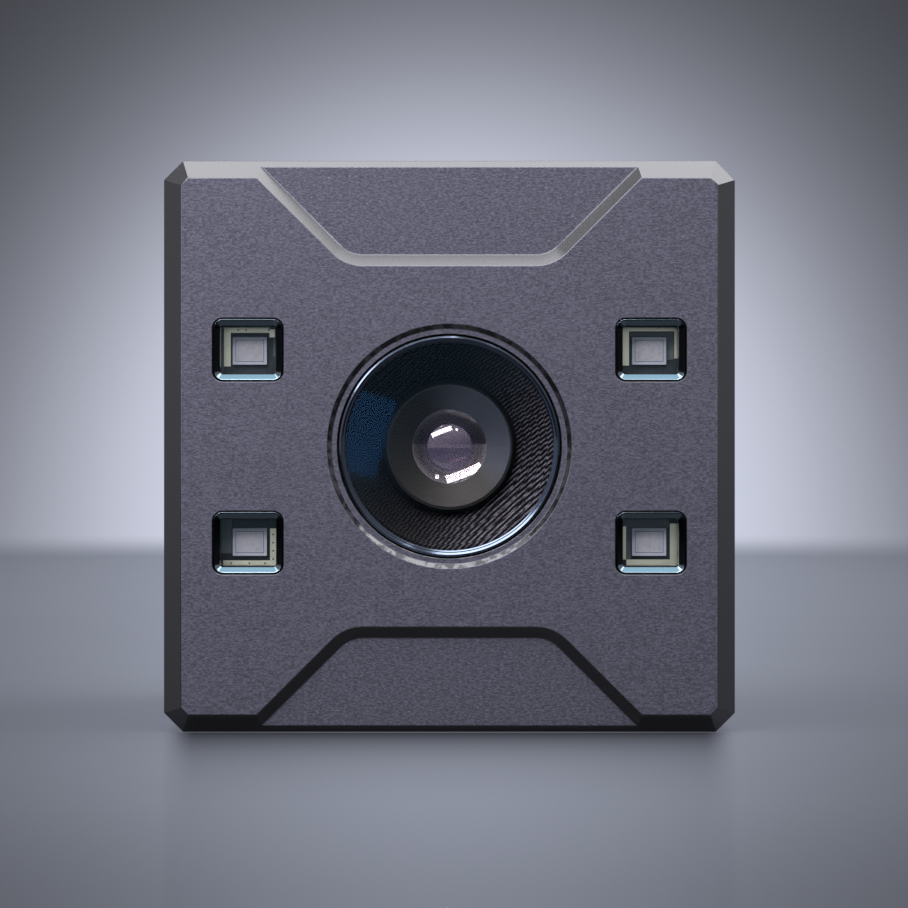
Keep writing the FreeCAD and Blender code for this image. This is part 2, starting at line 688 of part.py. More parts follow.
def lens_element(radius, optic, start, edge, front_bulge, back_bulge):
    """Glass element with flat edges; each face bulges back by its value, or forwards below 0."""
    back = start + edge
    rim = [(optic, start), (radius, start), (radius, back), (optic, back)]
    corners = [FreeCAD.Vector(r, depth, 0) for r, depth in rim]
    edges = [Part.makeLine(a, b) for a, b in zip(corners, corners[1:])]
    edges.append(face_arc(optic, back, back_bulge))
    apexes = [FreeCAD.Vector(0, back + back_bulge, 0), FreeCAD.Vector(0, start + front_bulge, 0)]
    edges.append(Part.makeLine(*apexes))
    edges.append(face_arc(optic, start, front_bulge))
    return Part.Face(Part.Wire(edges)).revolve(CENTRE, AXIS, 360)


def lens_lock_ring():
    """Notched ring that locks the barrel's thread against its holder."""
    ring = bored(LOCK_RADIUS, holder_bore, lock_front, LOCK_THICKNESS)
    notches = [
        block(LOCK_NOTCH, LOCK_NOTCH, lock_front, LOCK_THICKNESS, LOCK_RADIUS).rotated(CENTRE, AXIS, turn)
        for turn in (0, 90, 180, 270)
    ]
    return ring.cut(notches)


def lens_holder():
    """Threaded tube on a base that stands over the sensor and carries the filter."""
    base_front = sensor_board_front - HOLDER_BASE
    tube = cylinder(HOLDER_RADIUS, holder_front, base_front - holder_front)
    base = prism(rectangle(HOLDER_BASE_WIDTH, HOLDER_BASE_HEIGHT, HOLDER_CORNER, base_front), HOLDER_BASE)
    room = SENSOR_WIDTH + 2 * SENSOR_ROOM
    seat_back = seat_front + HOLDER_SEAT
    cuts = [
        cylinder(holder_bore, holder_front, seat_front - holder_front),
        block(FILTER_CLEAR, FILTER_CLEAR, seat_front, HOLDER_SEAT),
        block(FILTER_WIDTH + 2 * BORE_FIT, FILTER_WIDTH + 2 * BORE_FIT, seat_back, HOLDER_BASE),
        block(room, room, seat_back + FILTER_THICKNESS, sensor_board_front - seat_back - FILTER_THICKNESS),
    ]
    for x in HOLDER_SCREWS:
        depth = STUD_GRIP + DRILL_TIP
        cuts.append(cylinder(STUD_RADIUS + THREAD_FIT, sensor_board_front - depth, depth, x))
    return joined([tube, base]).cut(cuts)


def pan_screw(seat, length, x, z):
    """Small pan head screw whose head sits at depth seat and whose shank runs forwards."""
    shank = cylinder(STUD_RADIUS, seat - length, length, x, z)
    head = cylinder(SMALL_HEAD_RADIUS, seat, SMALL_HEAD_HEIGHT, x, z)
    return joined([shank, head])


def standoff(start, length, stud, x, z):
    """Hexagonal standoff: a stud ahead of it and a threaded hole in its far end."""
    body = hexagon(STANDOFF_FLATS, start, length, x, z)
    depth = STUD_GRIP + DRILL_TIP
    hole = cylinder(STUD_RADIUS + THREAD_FIT, start + length - depth, depth, x, z)
    return joined([body, cylinder(STUD_RADIUS, start - stud, stud, x, z)]).cut(hole)


def standoffs(start, length, stud):
    """The four standoffs of one level of the board stack."""
    return [standoff(start, length, stud, x, z) for x, z in STACK]


# --------------------------------------------------------------------------------- boards
def board(start, hole=0.0):
    """Printed board of the stack."""
    return sheet(start, BOARD_THICKNESS, CAVITY_FIT, hole)


def link(start, length):
    """Board-to-board connector: a wide foot on one board and a narrower plug on the next."""
    foot = block(LINK_WIDTH, LINK_HEIGHT, start, length / 2, 0, -LINK_DROP)
    narrow = 2 * LINK_SHOULDER
    plug = block(LINK_WIDTH - narrow, LINK_HEIGHT - narrow, start, length, 0, -LINK_DROP)
    return joined([foot, plug])


def sensor_board():
    """Board with clearance holes for the screws of the lens holder."""
    holes = [cylinder(stud_bore, sensor_board_front, BOARD_THICKNESS, x) for x in HOLDER_SCREWS]
    return board(sensor_board_front).cut(holes)


def processor_board():
    """Board with two memory chips soldered beside the processor."""
    offset = (PROCESSOR_WIDTH + MEMORY_WIDTH) / 2 + MEMORY_GAP
    chips = [
        block(MEMORY_WIDTH, MEMORY_HEIGHT, processor_board_back, MEMORY_THICKNESS, x)
        for x in (-offset, offset)
    ]
    return joined([board(processor_board_front)] + chips)


def rear_board():
    """Board with a network transformer in front and three light chips behind."""
    transformer = block(
        TRANSFORMER_WIDTH,
        TRANSFORMER_HEIGHT,
        rear_board_front - TRANSFORMER_THICKNESS,
        TRANSFORMER_THICKNESS,
        0,
        TRANSFORMER_RISE,
    )
    chips = [
        block(2 * LIGHT_RADIUS, LIGHT_RADIUS, rear_board_back, LIGHT_CHIP, x, z)
        for x, z in light_places()
    ]
    return joined([board(rear_board_front), transformer] + chips)


def status_light_pipes():
    """Clear rods that bring the light chips out to the rear face."""
    pipes = []
    for x, z in light_places():
        start = rear_board_back + LIGHT_CHIP
        rod = cylinder(LIGHT_RADIUS, start, rear_face - start, x, z)
        flange = cylinder(LIGHT_FLANGE_RADIUS, body_back - LIGHT_FLANGE, LIGHT_FLANGE, x, z)
        pipes.append(joined([rod, flange]))
    return pipes


# -------------------------------------------------------------------------------- sockets
def at_socket(shape, side):
    """Move a shape from the lens axis to the left (-1) or right (1) socket."""
    return shape.translated(FreeCAD.Vector(side * socket_x, 0, -SOCKET_DROP))


def socket_shell(collar, mouth, floor):
    """Metal shell: threaded neck through the cover, flange, and collar round the mouth."""
    flange_front = rear_face - FLANGE_SINK
    flange_back = flange_front + FLANGE_THICKNESS
    seat = socket_back + INSERT_FLANGE
    flange_bore = INSERT_FLANGE_RADIUS + LENS_FIT
    return turned([
        (flange_bore, socket_back),
        (NECK_RADIUS, socket_back),
        (NECK_RADIUS, flange_front),
        (FLANGE_RADIUS, flange_front),
        (FLANGE_RADIUS, flange_back),
        (collar, flange_back),
        (collar, socket_mouth),
        (mouth, socket_mouth),
        (mouth, floor),
        (insert_bore, floor),
        (insert_bore, seat),
        (flange_bore, seat),
    ])


def screen_cross(thickness, reach, start, end):
    """Crossed plates about the axis of a socket."""
    across = block(2 * reach, thickness, start, end - start)
    return joined([across, block(thickness, 2 * reach, start, end - start)])


def data_socket_shell():
    """Female socket's shell with the crossed screen plates that part its four pairs."""
    root = screen_cross(SCREEN_THICKNESS, insert_bore + LENS_FIT, screen_back, data_floor)
    plates = screen_cross(SCREEN_THICKNESS, INSERT_RADIUS, screen_back, data_face - INSERT_RECESS)
    return joined([socket_shell(DATA_COLLAR, DATA_MOUTH, data_floor), root, plates])


def insert_body(face):
    """Moulded insert with the flange that seats it in its shell."""
    flange = cylinder(INSERT_FLANGE_RADIUS, socket_back, INSERT_FLANGE)
    return joined([flange, cylinder(INSERT_RADIUS, socket_back, face - socket_back)])


def contact_places(count, circle, first):
    """Places (x, z) spaced evenly on a circle, the first at an angle in degrees."""
    turns = [math.radians(first + 360 * step / count) for step in range(count)]
    return [(circle * math.cos(turn), circle * math.sin(turn)) for turn in turns]


def data_places():
    """Places of the eight contacts: one pair in each quarter between the screen plates."""
    return [
        place
        for spread in (-CONTACT_SPREAD, CONTACT_SPREAD)
        for place in contact_places(4, CONTACT_CIRCLE, 45 + spread)
    ]


def power_places():
    """Places of the twelve pins: nine on the outer circle and three inside it."""
    return contact_places(9, CONTACT_CIRCLE, 90) + contact_places(3, INNER_CIRCLE, 30)


def contact_bores(places):
    """Holes of an insert round its contacts, from end to end."""
    radius = CONTACT_RADIUS + LENS_FIT
    return [cylinder(radius, socket_back, socket_mouth - socket_back, x, z) for x, z in places]


def contacts(places, face):
    """Contact rods from the rear board out to a depth."""
    return [cylinder(CONTACT_RADIUS, rear_board_back, face - rear_board_back, x, z) for x, z in places]


def data_socket_insert():
    """Insert of the data socket, slotted for the screen plates."""
    width = SCREEN_THICKNESS + 2 * LENS_FIT
    slot = screen_cross(width, INSERT_FLANGE_RADIUS, screen_back - LENS_FIT, socket_mouth)
    return insert_body(data_face).cut([slot] + contact_bores(data_places()))


def socket_nuts():
    """Two hexagonal nuts that clamp the sockets to the inside of the rear cover."""
    nut = hexagon(NUT_FLATS, body_back - NUT_THICKNESS, NUT_THICKNESS)
    nut = nut.cut(cylinder(NECK_RADIUS + THREAD_FIT, body_back - NUT_THICKNESS, NUT_THICKNESS))
    return [at_socket(nut, side) for side in (-1, 1)]


# --------------------------------------------------------------------------------- output
def save_housing():
    """Save the three housing pieces, their seals and screws, and what fills the lens port."""
    save("front_housing", front_housing())
    save("main_body", main_body())
    save("rear_cover", rear_cover())
    seal_margin = SEAL_MARGIN + SEAL_FIT
    save("front_seal", seal_ring(FRONT_DEPTH, SEAL_DEPTH, SEAL_WIDTH, seal_margin))
    save("rear_seal", seal_ring(body_back - SEAL_DEPTH, SEAL_DEPTH, SEAL_WIDTH, seal_margin))
    save("tie_screws", tie_screws())
    save("cover_window", cover_window())
    save("cover_window_seal", cover_window_seal())
    save("baffle_cone", baffle_cone())


def save_emitters():
    """Save the four emitters with their panes and seals, and the board that carries them."""
    for corner, (x, z) in CORNERS.items():
        save(f"emitter_window_{corner}", emitter_window(x, z))
        save(f"emitter_window_seal_{corner}", emitter_window_seal(x, z))
        save(f"emitter_package_{corner}", emitter_package(x, z))
        save(f"emitter_fill_{corner}", emitter_fill(x, z))
    save("emitter_board", board(emitter_board_front, baffle_board_hole))
    pad = sheet(pad_front, PAD_THICKNESS, PAD_INSET, baffle_board_hole)
    save("emitter_thermal_pad", pad)
    save("heat_spreader", sheet(spreader_front, SPREADER_THICKNESS, CAVITY_FIT, baffle_board_hole))


def save_glass_stack():
    """Save what the barrel holds, from its nose back."""
    save("lens_nose_ring", lens_nose_ring())
    front = (front_element_depth, FRONT_EDGE, -FRONT_BULGE, -FRONT_HOLLOW)
    save("lens_front_element", lens_element(ELEMENT_RADIUS, optic_radius, *front))
    save("lens_spacer", bored(ELEMENT_RADIUS, optic_radius, spacer_depth, SPACER_LENGTH))
    save("lens_aperture_stop", bored(ELEMENT_RADIUS, STOP_RADIUS, stop_depth, STOP_THICKNESS))
    middle = (middle_element_depth, MIDDLE_EDGE, MIDDLE_BULGE, MIDDLE_BULGE)
    save("lens_middle_element", lens_element(ELEMENT_RADIUS, WEB_RADIUS, *middle))
    rear = (rear_element_depth, REAR_EDGE, -REAR_BULGE, REAR_BULGE)
    save("lens_rear_element", lens_element(REAR_ELEMENT_RADIUS, WEB_RADIUS, *rear))
    ring_length = barrel_back - rear_ring_depth
    save("lens_rear_ring", bored(REAR_ELEMENT_RADIUS, WEB_RADIUS, rear_ring_depth, ring_length))


def save_lens():
    """Save the barrel with its holder, and the filter and sensor under the holder."""
    save("lens_barrel", lens_barrel())
    save_glass_stack()
    save("lens_lock_ring", lens_lock_ring())
    save("lens_holder", lens_holder())
    screws = [pan_screw(sensor_board_back, BOARD_THICKNESS + STUD_GRIP, x, 0) for x in HOLDER_SCREWS]
    save("lens_holder_screws", screws)
    save("cut_filter", block(FILTER_WIDTH, FILTER_WIDTH, seat_front + HOLDER_SEAT, FILTER_THICKNESS))
    save("image_sensor", block(SENSOR_WIDTH, SENSOR_WIDTH, sensor_front, SENSOR_THICKNESS))
    glass_depth = sensor_front - SENSOR_GLASS
    save("sensor_cover_glass", block(SENSOR_GLASS_WIDTH, SENSOR_GLASS_WIDTH, glass_depth, SENSOR_GLASS))


def save_boards():
    """Save the board stack behind the lens with its links and standoffs."""
    save("sensor_board", sensor_board())
    save("processor_board", processor_board())
    processor = block(PROCESSOR_WIDTH, PROCESSOR_WIDTH, processor_board_back, PROCESSOR_THICKNESS)
    save("processor", processor)
    save("rear_board", rear_board())
    save("sensor_link", link(sensor_board_back, MIDDLE_STANDOFF))
    save("power_link", link(processor_board_back, REAR_STANDOFF))
    plates = SPREADER_THICKNESS + PAD_THICKNESS + BOARD_THICKNESS
    save("front_standoffs", standoffs(spreader_back, FRONT_STANDOFF, plates + STUD_GRIP))
    save("middle_standoffs", standoffs(sensor_board_back, MIDDLE_STANDOFF, BOARD_THICKNESS + STUD_GRIP))
    save("rear_standoffs", standoffs(processor_board_back, REAR_STANDOFF, BOARD_THICKNESS + STUD_GRIP))
    save("board_screws", [pan_screw(rear_board_back, BOARD_THICKNESS + STUD_GRIP, x, z) for x, z in STACK])


def save_sockets():
    """Save the two rear sockets, their nuts and the status lights."""
    save("data_socket_shell", at_socket(data_socket_shell(), -1))
    save("data_socket_insert", at_socket(data_socket_insert(), -1))
    data_contacts = contacts(data_places(), data_face - CONTACT_RADIUS)
    save("data_socket_contacts", [at_socket(rod, -1) for rod in data_contacts])
    power_shell = socket_shell(POWER_COLLAR, insert_bore, power_face)
    save("power_socket_shell", at_socket(power_shell, 1))
    power_insert = insert_body(power_face).cut(contact_bores(power_places()))
    save("power_socket_insert", at_socket(power_insert, 1))
    pins = contacts(power_places(), socket_mouth - PIN_RECESS)
    save("power_socket_pins", [at_socket(pin, 1) for pin in pins])
    save("socket_nuts", socket_nuts())
    save("status_light_pipes", status_light_pipes())


os.makedirs("parts", exist_ok=True)
save_housing()
save_emitters()
save_lens()
save_boards()
save_sockets()
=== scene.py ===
"""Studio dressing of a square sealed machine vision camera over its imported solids."""

import json
import logging
import math
from dataclasses import dataclass
from enum import Enum
from typing import Callable, Optional, Sequence, Union

import bmesh
import bpy
import numpy as np
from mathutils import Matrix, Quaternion, Vector


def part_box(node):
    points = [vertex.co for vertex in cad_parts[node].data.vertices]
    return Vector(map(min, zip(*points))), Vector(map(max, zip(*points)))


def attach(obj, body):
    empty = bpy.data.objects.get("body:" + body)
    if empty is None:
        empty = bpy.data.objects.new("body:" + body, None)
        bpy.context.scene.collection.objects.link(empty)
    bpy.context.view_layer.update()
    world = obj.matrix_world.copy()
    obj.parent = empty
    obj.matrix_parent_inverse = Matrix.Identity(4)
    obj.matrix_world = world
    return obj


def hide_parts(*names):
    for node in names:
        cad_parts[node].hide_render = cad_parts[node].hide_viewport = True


LOG = logging.getLogger("camera_dressing")
MM = 0.001
LENS_HEIGHT = 30 * MM
ARC_STEPS = 8
Triple = tuple[float, float, float]
Colour = Triple
Profile = Sequence[tuple[float, float]]
Rows = tuple[tuple[float, ...], ...]
Socket = bpy.types.NodeSocket
Material = bpy.types.Material
Piece = bpy.types.Object
BLACK: Colour = (0.0, 0.0, 0.0)

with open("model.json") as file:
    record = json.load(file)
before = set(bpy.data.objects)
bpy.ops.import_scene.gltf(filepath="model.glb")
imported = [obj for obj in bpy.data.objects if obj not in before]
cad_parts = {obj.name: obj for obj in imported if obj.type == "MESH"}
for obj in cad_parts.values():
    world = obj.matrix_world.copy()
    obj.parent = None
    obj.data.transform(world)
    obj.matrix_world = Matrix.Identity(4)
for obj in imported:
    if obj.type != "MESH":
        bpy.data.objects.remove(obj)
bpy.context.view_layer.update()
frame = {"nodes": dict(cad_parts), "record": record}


def tone(*channels: int) -> Colour:
    """Linear colour of a display colour.

    Args:
        *channels: Its red, green and blue, each from 0 to 255.

    Returns:
        The linear red, green and blue.
    """
    share = np.array(channels) / 255
    line = np.where(share <= 0.04045, share / 12.92, ((share + 0.055) / 1.055) ** 2.4)
    return tuple(line.tolist())


def scaled(colour: Colour, factor: float) -> Colour:
    """Colour with each channel times a factor, at most 1."""
    return tuple(min(1.0, channel * factor) for channel in colour)


@dataclass(frozen=True)
class Extent:
    """Box of a solid: middle and half sizes across (x and z), front and back along y."""

    centre: tuple[float, float]
    half: tuple[float, float]
    front: float
    back: float

    @classmethod
    def of(cls, node: str) -> "Extent":
        """Measure the solid of a name."""
        low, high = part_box(node)
        return cls(((low.x + high.x) / 2, (low.z + high.z) / 2),
                   ((high.x - low.x) / 2, (high.z - low.z) / 2), low.y, high.y)


# ---- materials
def sum_method(operation: str, last: bool = False) -> Callable:
    """Operator of a Wire; last says that the Wire is the second number of the sum."""
    return lambda wire, other: wire.through(operation, other, last=last)


@dataclass(frozen=True, eq=False)
class Wire:
    """A shader socket that grows Math nodes when Python does sums with it."""

    paint: "Paint"
    socket: Socket

    def through(self, operation: str, *others: "Amount", clamp: bool = False,
                last: bool = False) -> "Wire":
        """Math node of an operation on this value.

        Args:
            operation: Blender's name of the operation.
            *others: Its other inputs in order.
            clamp: Keep the result from 0 to 1.
            last: Whether this value is the last input and not the first.

        Returns:
            Its result.
        """
        inputs = dict(enumerate((*others, self) if last else (self, *others)))
        made = self.paint.node("Math", inputs, operation=operation, use_clamp=clamp)
        return Wire(self.paint, made.outputs[0])

    __add__ = __radd__ = sum_method("ADD")
    __sub__, __rsub__ = sum_method("SUBTRACT"), sum_method("SUBTRACT", True)
    __mul__ = __rmul__ = sum_method("MULTIPLY")
    __truediv__, __rtruediv__ = sum_method("DIVIDE"), sum_method("DIVIDE", True)
    __pow__ = sum_method("POWER")

    def step(self, low: float, high: float) -> "Wire":
        """Smooth step: 0 below low and 1 above high, or the other way round."""
        share = (self - low).through("DIVIDE", high - low, clamp=True)
        return share * share * (3 - 2 * share)

    def wave(self, length: float) -> "Wire":
        """Sine wave of a length along this value, from 0 to 1."""
        return (self * (2 * math.pi / length)).through("SINE") * 0.5 + 0.5

    def distance(self, other: "Wire") -> "Wire":
        """Distance of the point (this value, the other) from zero."""
        return (self * self + other * other) ** 0.5


Amount = Union[Wire, float, int, tuple]


class Paint:
    """One material under construction."""

    def __init__(self, name: str) -> None:
        """Start an empty material.

        Args:
            name: Its name.
        """
        self.material = bpy.data.materials.new(name)
        self.material.use_nodes = True
        self.tree = self.material.node_tree
        self.tree.nodes.clear()
        self.output = self.node("OutputMaterial")

    def node(self, kind: str, inputs: Optional[dict] = None, **settings: object) -> bpy.types.Node:
        """Add a node: its settings first, then the values or links of its sockets.

        Args:
            kind: Blender's type name of the node after "ShaderNode".
            inputs: Socket name or number to a value, a Wire or a socket.
            **settings: Attributes to set; stops are the place and colour of a ramp's stops.

        Returns:
            The node.
        """
        made = self.tree.nodes.new("ShaderNode" + kind)
        for key, value in settings.items():
            if key != "stops":
                setattr(made, key, value)
                continue
            for _ in value[2:]:
                made.color_ramp.elements.new(1.0)
            for element, (place, colour) in zip(made.color_ramp.elements, value):
                element.position, element.color = place, (*colour, 1.0)
        for key, value in (inputs or {}).items():
            self.feed(made.inputs[key], value)
        return made

    def feed(self, socket: Socket, value: Amount) -> None:
        """Link a socket, or set its constant.

        Args:
            socket: The input socket.
            value: Wire, output socket, number or colour.
        """
        if isinstance(value, Wire):
            value = value.socket
        if isinstance(value, Socket):
            self.tree.links.new(value, socket)
        elif socket.type == "RGBA" and len(value) == 3:
            socket.default_value = (*value, 1.0)
        else:
            socket.default_value = value

    def coordinates(self, kind: str = "Object") -> Socket:
        """Coordinates of a kind; those of the object are metres of the part's own frame."""
        return self.node("TexCoord").outputs[kind]

    def split(self, vector: Socket) -> tuple[Wire, Wire, Wire]:
        """The x, y and z of a vector."""
        parts = self.node("SeparateXYZ", {0: vector})
        return tuple(Wire(self, output) for output in parts.outputs)

    def axes(self, centre: Triple = (0.0, 0.0, 0.0)) -> tuple[Wire, Wire, Wire]:
        """The coordinates x, y and z from a centre."""
        inputs = {0: self.coordinates(), 1: centre}
        return self.split(self.node("VectorMath", inputs, operation="SUBTRACT").outputs[0])

    def lens_axes(self) -> tuple[Wire, Wire, Wire]:
        """The coordinates x, y and z, with x and z from the lens axis."""
        return self.axes((0.0, 0.0, LENS_HEIGHT))

    def speckle(self, size: float, detail: float = 2.0, stretch: Triple = (1.0, 1.0, 1.0)) -> Wire:
        """Noise from 0 to 1 with blotches of one size.

        Args:
            size: Rough width of a blotch in metres.
            detail: Octaves of finer noise in it.
            stretch: Length of the blotches along each axis.

        Returns:
            The noise.
        """
        inputs = {0: self.coordinates(), 1: tuple(1.0 / (size * length) for length in stretch)}
        place = self.node("VectorMath", inputs, operation="MULTIPLY").outputs[0]
        noise = self.node(
            "TexNoise", {"Vector": place, "Scale": 1.0, "Detail": detail, "Roughness": 0.55})
        return Wire(self, noise.outputs[0])

    def blend(self, share: Amount, first: Amount, second: Amount) -> Socket:
        """Colour between two colours: share 0 gives the first, 1 the second."""
        inputs = {0: share, 6: first, 7: second}
        return self.node("Mix", inputs, data_type="RGBA", blend_type="MIX").outputs[2]

    def relief(self, height: Wire, depth: float) -> Socket:
        """Normal of a surface whose height, from 0 to 1, stands up to a depth in metres."""
        inputs = {"Height": height, "Distance": depth, "Strength": 1.0}
        return self.node("Bump", inputs).outputs[0]

    def shader(self, kind: str, **inputs: Amount) -> Socket:
        """Output of a shader node; underscores in a socket's name stand for spaces."""
        named = {key.replace("_", " "): value for key, value in inputs.items()}
        return self.node(kind, named).outputs[0]

    def mixed(self, share: Amount, first: Socket, second: Socket) -> Socket:
        """Shader between two shaders: share 0 gives the first, 1 the second."""
        return self.node("MixShader", {0: share, 1: first, 2: second}).outputs[0]


class Surface:
    """What a piece is made of: each kind of surface has its own shader."""

    def paint(self, name: str) -> Material:
        """Make the material.

        Args:
            name: Its name.

        Returns:
            The material.
        """
        paint = Paint(name)
        paint.feed(paint.output.inputs["Surface"], self.shader(paint))
        return paint.material

    def shader(self, paint: Paint) -> Socket:
        """Make the shader of the surface in its material."""
        raise NotImplementedError


@dataclass(frozen=True)
class Finish(Surface):
    """A plain surface with grain: metal, plastic, rubber or ceramic.

    The colour swings by mottle between darker and lighter over blotches of two sizes, the
    roughness swings with them, and the relief is noise of the grain's size.
    """

    colour: Colour
    roughness: float
    metallic: float = 0.0
    grain: float = 0.25 * MM
    relief: float = 0.0
    mottle: float = 0.15
    rough_swing: float = 0.1
    stretch: Triple = (1.0, 1.0, 1.0)
    coat: float = 0.0
    specular: float = 0.5
    broad_grains: float = 30.0

    def shader(self, paint: Paint) -> Socket:
        """Make the shader of a plain surface.

        Args:
            paint: Its material.

        Returns:
            The shader.
        """
        fine = paint.speckle(self.grain, 2.0, self.stretch)
        broad = paint.speckle(self.grain * self.broad_grains, 3.0, self.stretch)
        swing = (fine * 0.7 + broad * 0.3).step(0.3, 0.7)
        rough = self.roughness + (broad - 0.5) * self.rough_swing + (fine - 0.5) * self.rough_swing
        inputs = {"Normal": paint.relief(fine, self.relief)} if self.relief else {}
        return paint.shader(
            "BsdfPrincipled", Base_Color=paint.blend(swing, *self.shades()), Metallic=self.metallic,
            Roughness=rough, Specular_IOR_Level=self.specular, Coat_Weight=self.coat,
            Coat_Roughness=0.08, **inputs)

    def shades(self) -> tuple[Colour, Colour]:
        """The colour at its darkest and at its lightest."""
        return scaled(self.colour, 1 - self.mottle), scaled(self.colour, 1 + self.mottle)


@dataclass(frozen=True)
class Blasted(Finish):
    """Bead-blasted and anodised aluminium: drawn-out pits of two sizes and a violet sparkle.

    Faces at a slant to the part's axis were milled after blasting: they are smooth and of a
    more neutral grey, those sunk in the front get a little painted shade, and the step round
    the port is smoother still, with torn dark specks.
    """

    sparkle: Colour = tone(168, 160, 196)
    milled: Colour = tone(85, 85, 90)
    milled_roughness: float = 0.27
    bevel: float = 2.1 * MM
    sunk_shade: float = 0.03
    port_radius: float = 14 * MM
    port_gloss: float = 0.15
    torn: Colour = (0.01, 0.01, 0.014)
    torn_size: float = 0.9 * MM
    torn_share: float = 0.75

    def shader(self, paint: Paint) -> Socket:
        """Make the shader of blasted and milled metal.

        Args:
            paint: Its material.

        Returns:
            The shader.
        """
        fine = paint.speckle(self.grain, 1.0, self.stretch)
        pits = paint.speckle(self.grain * 1.7, 2.0, self.stretch)
        broad = paint.speckle(self.grain * 60, 2.0)
        base = paint.blend((fine * 0.6 + pits * 0.4).step(0.36, 0.64), *self.shades())
        base = paint.blend(fine.step(0.68, 0.80) * 0.35, base, self.sparkle)
        base = paint.blend(broad.step(0.35, 0.7) * 0.05, base, scaled(self.colour, 1.5))
        slant = self.slanted(paint)
        # painted shade: milled faces sunk within the front's outer bevel are darkened a little
        shade = slant * self.inside(paint) * self.sunk_shade
        base = paint.blend(shade, paint.blend(slant, base, self.milled), BLACK)
        x, _, z = paint.lens_axes()
        port = x.distance(z).step(self.port_radius, self.port_radius - 0.2 * MM)
        torn = paint.speckle(self.torn_size, 3.0).step(0.42, 0.56) * slant * port * self.torn_share
        base = paint.blend(torn, base, self.torn)
        blasted = self.roughness + (pits - 0.5) * self.rough_swing
        rough = blasted * (1 - slant) + (self.milled_roughness - port * self.port_gloss) * slant
        normal = paint.relief((fine * 0.5 + pits * 0.5) * (1 - slant * 0.97), self.relief)
        return paint.shader(
            "BsdfPrincipled", Base_Color=base, Metallic=self.metallic, Normal=normal,
            Roughness=rough, Specular_IOR_Level=self.specular)

    @staticmethod
    def slanted(paint: Paint) -> Wire:
        """Mask that is 1 on faces at a slant to Y and 0 on those along or across it."""
        along = paint.split(paint.coordinates("Normal"))[1].through("ABSOLUTE")
        return along.step(0.2, 0.3) * along.step(0.96, 0.9)

    def inside(self, paint: Paint) -> Wire:
        """Mask of what lies within the outer bevel of the front.

        Args:
            paint: Material in the making.

        Returns:
            1 inside and 0 on the bevel.
        """
        face = Extent.of("front_housing")
        x, _, z = paint.axes((face.centre[0], face.front, face.centre[1]))
        edge = face.half[0] - self.bevel
        within = x.through("ABSOLUTE").through("MAXIMUM", z.through("ABSOLUTE"))
        return within.step(edge, edge - 0.1 * MM)


@dataclass(frozen=True)
class Hatched(Finish):
    """Matt black moulding scored by fine parallel strokes that break at each ridge.

    The strokes' colour is painted lighter towards the lower right: painted light.
    """

    pitch: float = 0.4 * MM
    lean: float = math.radians(42)
    ridge: float = 0.8 * MM
    ridge_shift: float = 0.37
    wander: float = 0.35
    contrast: float = 84.0

    def shader(self, paint: Paint) -> Socket:
        """Make the shader of scored moulding.

        Args:
            paint: Its material.

        Returns:
            The shader.
        """
        x, _, z = paint.lens_axes()
        across = z * math.cos(self.lean) - x * math.sin(self.lean)
        column = (x.distance(z) / self.ridge).through("FLOOR") * self.ridge_shift
        turns = across / self.pitch + column + paint.speckle(1.2 * MM, 1.0) * self.wander
        stroke = turns.wave(1.0)
        # painted light: lit makes the strokes lighter towards the lower right, where light falls
        lit = (x - z * 0.3).step(-5.0 * MM, 9.0 * MM) ** 2
        wear = paint.speckle(0.5 * MM, 2.0)
        mask = stroke.step(0.35, 1.0) * (0.3 + 0.7 * wear.step(0.35, 0.6)) * (0.08 + 0.92 * lit)
        return paint.shader(
            "BsdfPrincipled", Metallic=self.metallic, Specular_IOR_Level=self.specular,
            Base_Color=paint.blend(mask, self.colour, scaled(self.colour, self.contrast)),
            Roughness=self.roughness + (wear - 0.5) * self.rough_swing,
            Normal=paint.relief(stroke * lit, self.relief))


@dataclass(frozen=True)
class Dished(Finish):
    """Turned black ring with a painted sheen that makes it lighter towards one side."""

    painted_sheen: Colour = tone(84, 86, 100)
    groove: float = 0.16 * MM
    side: tuple[float, float] = (0.8, 0.6)

    def shader(self, paint: Paint) -> Socket:
        """Make the shader of a turned ring.

        Args:
            paint: Its material.

        Returns:
            The shader.
        """
        x, _, z = paint.lens_axes()
        radius = x.distance(z)
        rings = radius.wave(self.groove)
        # painted sheen: the ring is lighter towards the upper right, where side points; its grooves
        # break that up a little
        toward = (x * self.side[0] + z * self.side[1]) / radius
        share = toward.step(0.0, 1.0) * (0.85 + 0.15 * rings)
        return paint.shader(
            "BsdfPrincipled", Base_Color=paint.blend(share, self.colour, self.painted_sheen),
            Metallic=self.metallic, Roughness=self.roughness + rings * self.rough_swing,
            Normal=paint.relief(rings, self.relief))


@dataclass(frozen=True)
class PolishedPaintedLightEdge(Finish):
    """Smooth glass edge whose light is painted by the way it faces.

    Painted pale highlights where it faces up, painted slate shade where it faces down, painted
    dark shade at its sides.
    """

    dark: Colour = tone(22, 24, 28)
    slate: Colour = tone(96, 112, 124)
    rim: Colour = tone(125, 140, 153)

    def shader(self, paint: Paint) -> Socket:
        """Make the shader of a polished edge.

        Args:
            paint: Its material.

        Returns:
            The shader.
        """
        up = paint.split(paint.coordinates("Normal"))[2]
        fine = paint.speckle(self.grain, 2.0)
        # painted highlights: faces turned up get pale rim lines and a pale blue band
        stops = ((0.0, self.dark), (0.2, self.rim), (0.52, self.rim), (0.58, self.colour),
                 (0.68, self.colour), (0.76, self.rim))
        ramp = paint.node("ValToRGB", {0: up}, stops=stops).outputs[0]
        # painted shade: slate on faces turned down, dark on those turned sideways
        base = paint.blend(up.step(-0.25, -0.55), self.dark, self.slate)
        return paint.shader(
            "BsdfPrincipled", Base_Color=paint.blend(up.step(0.0, 0.2), base, ramp),
            Metallic=self.metallic, Roughness=self.roughness + fine * self.rough_swing)


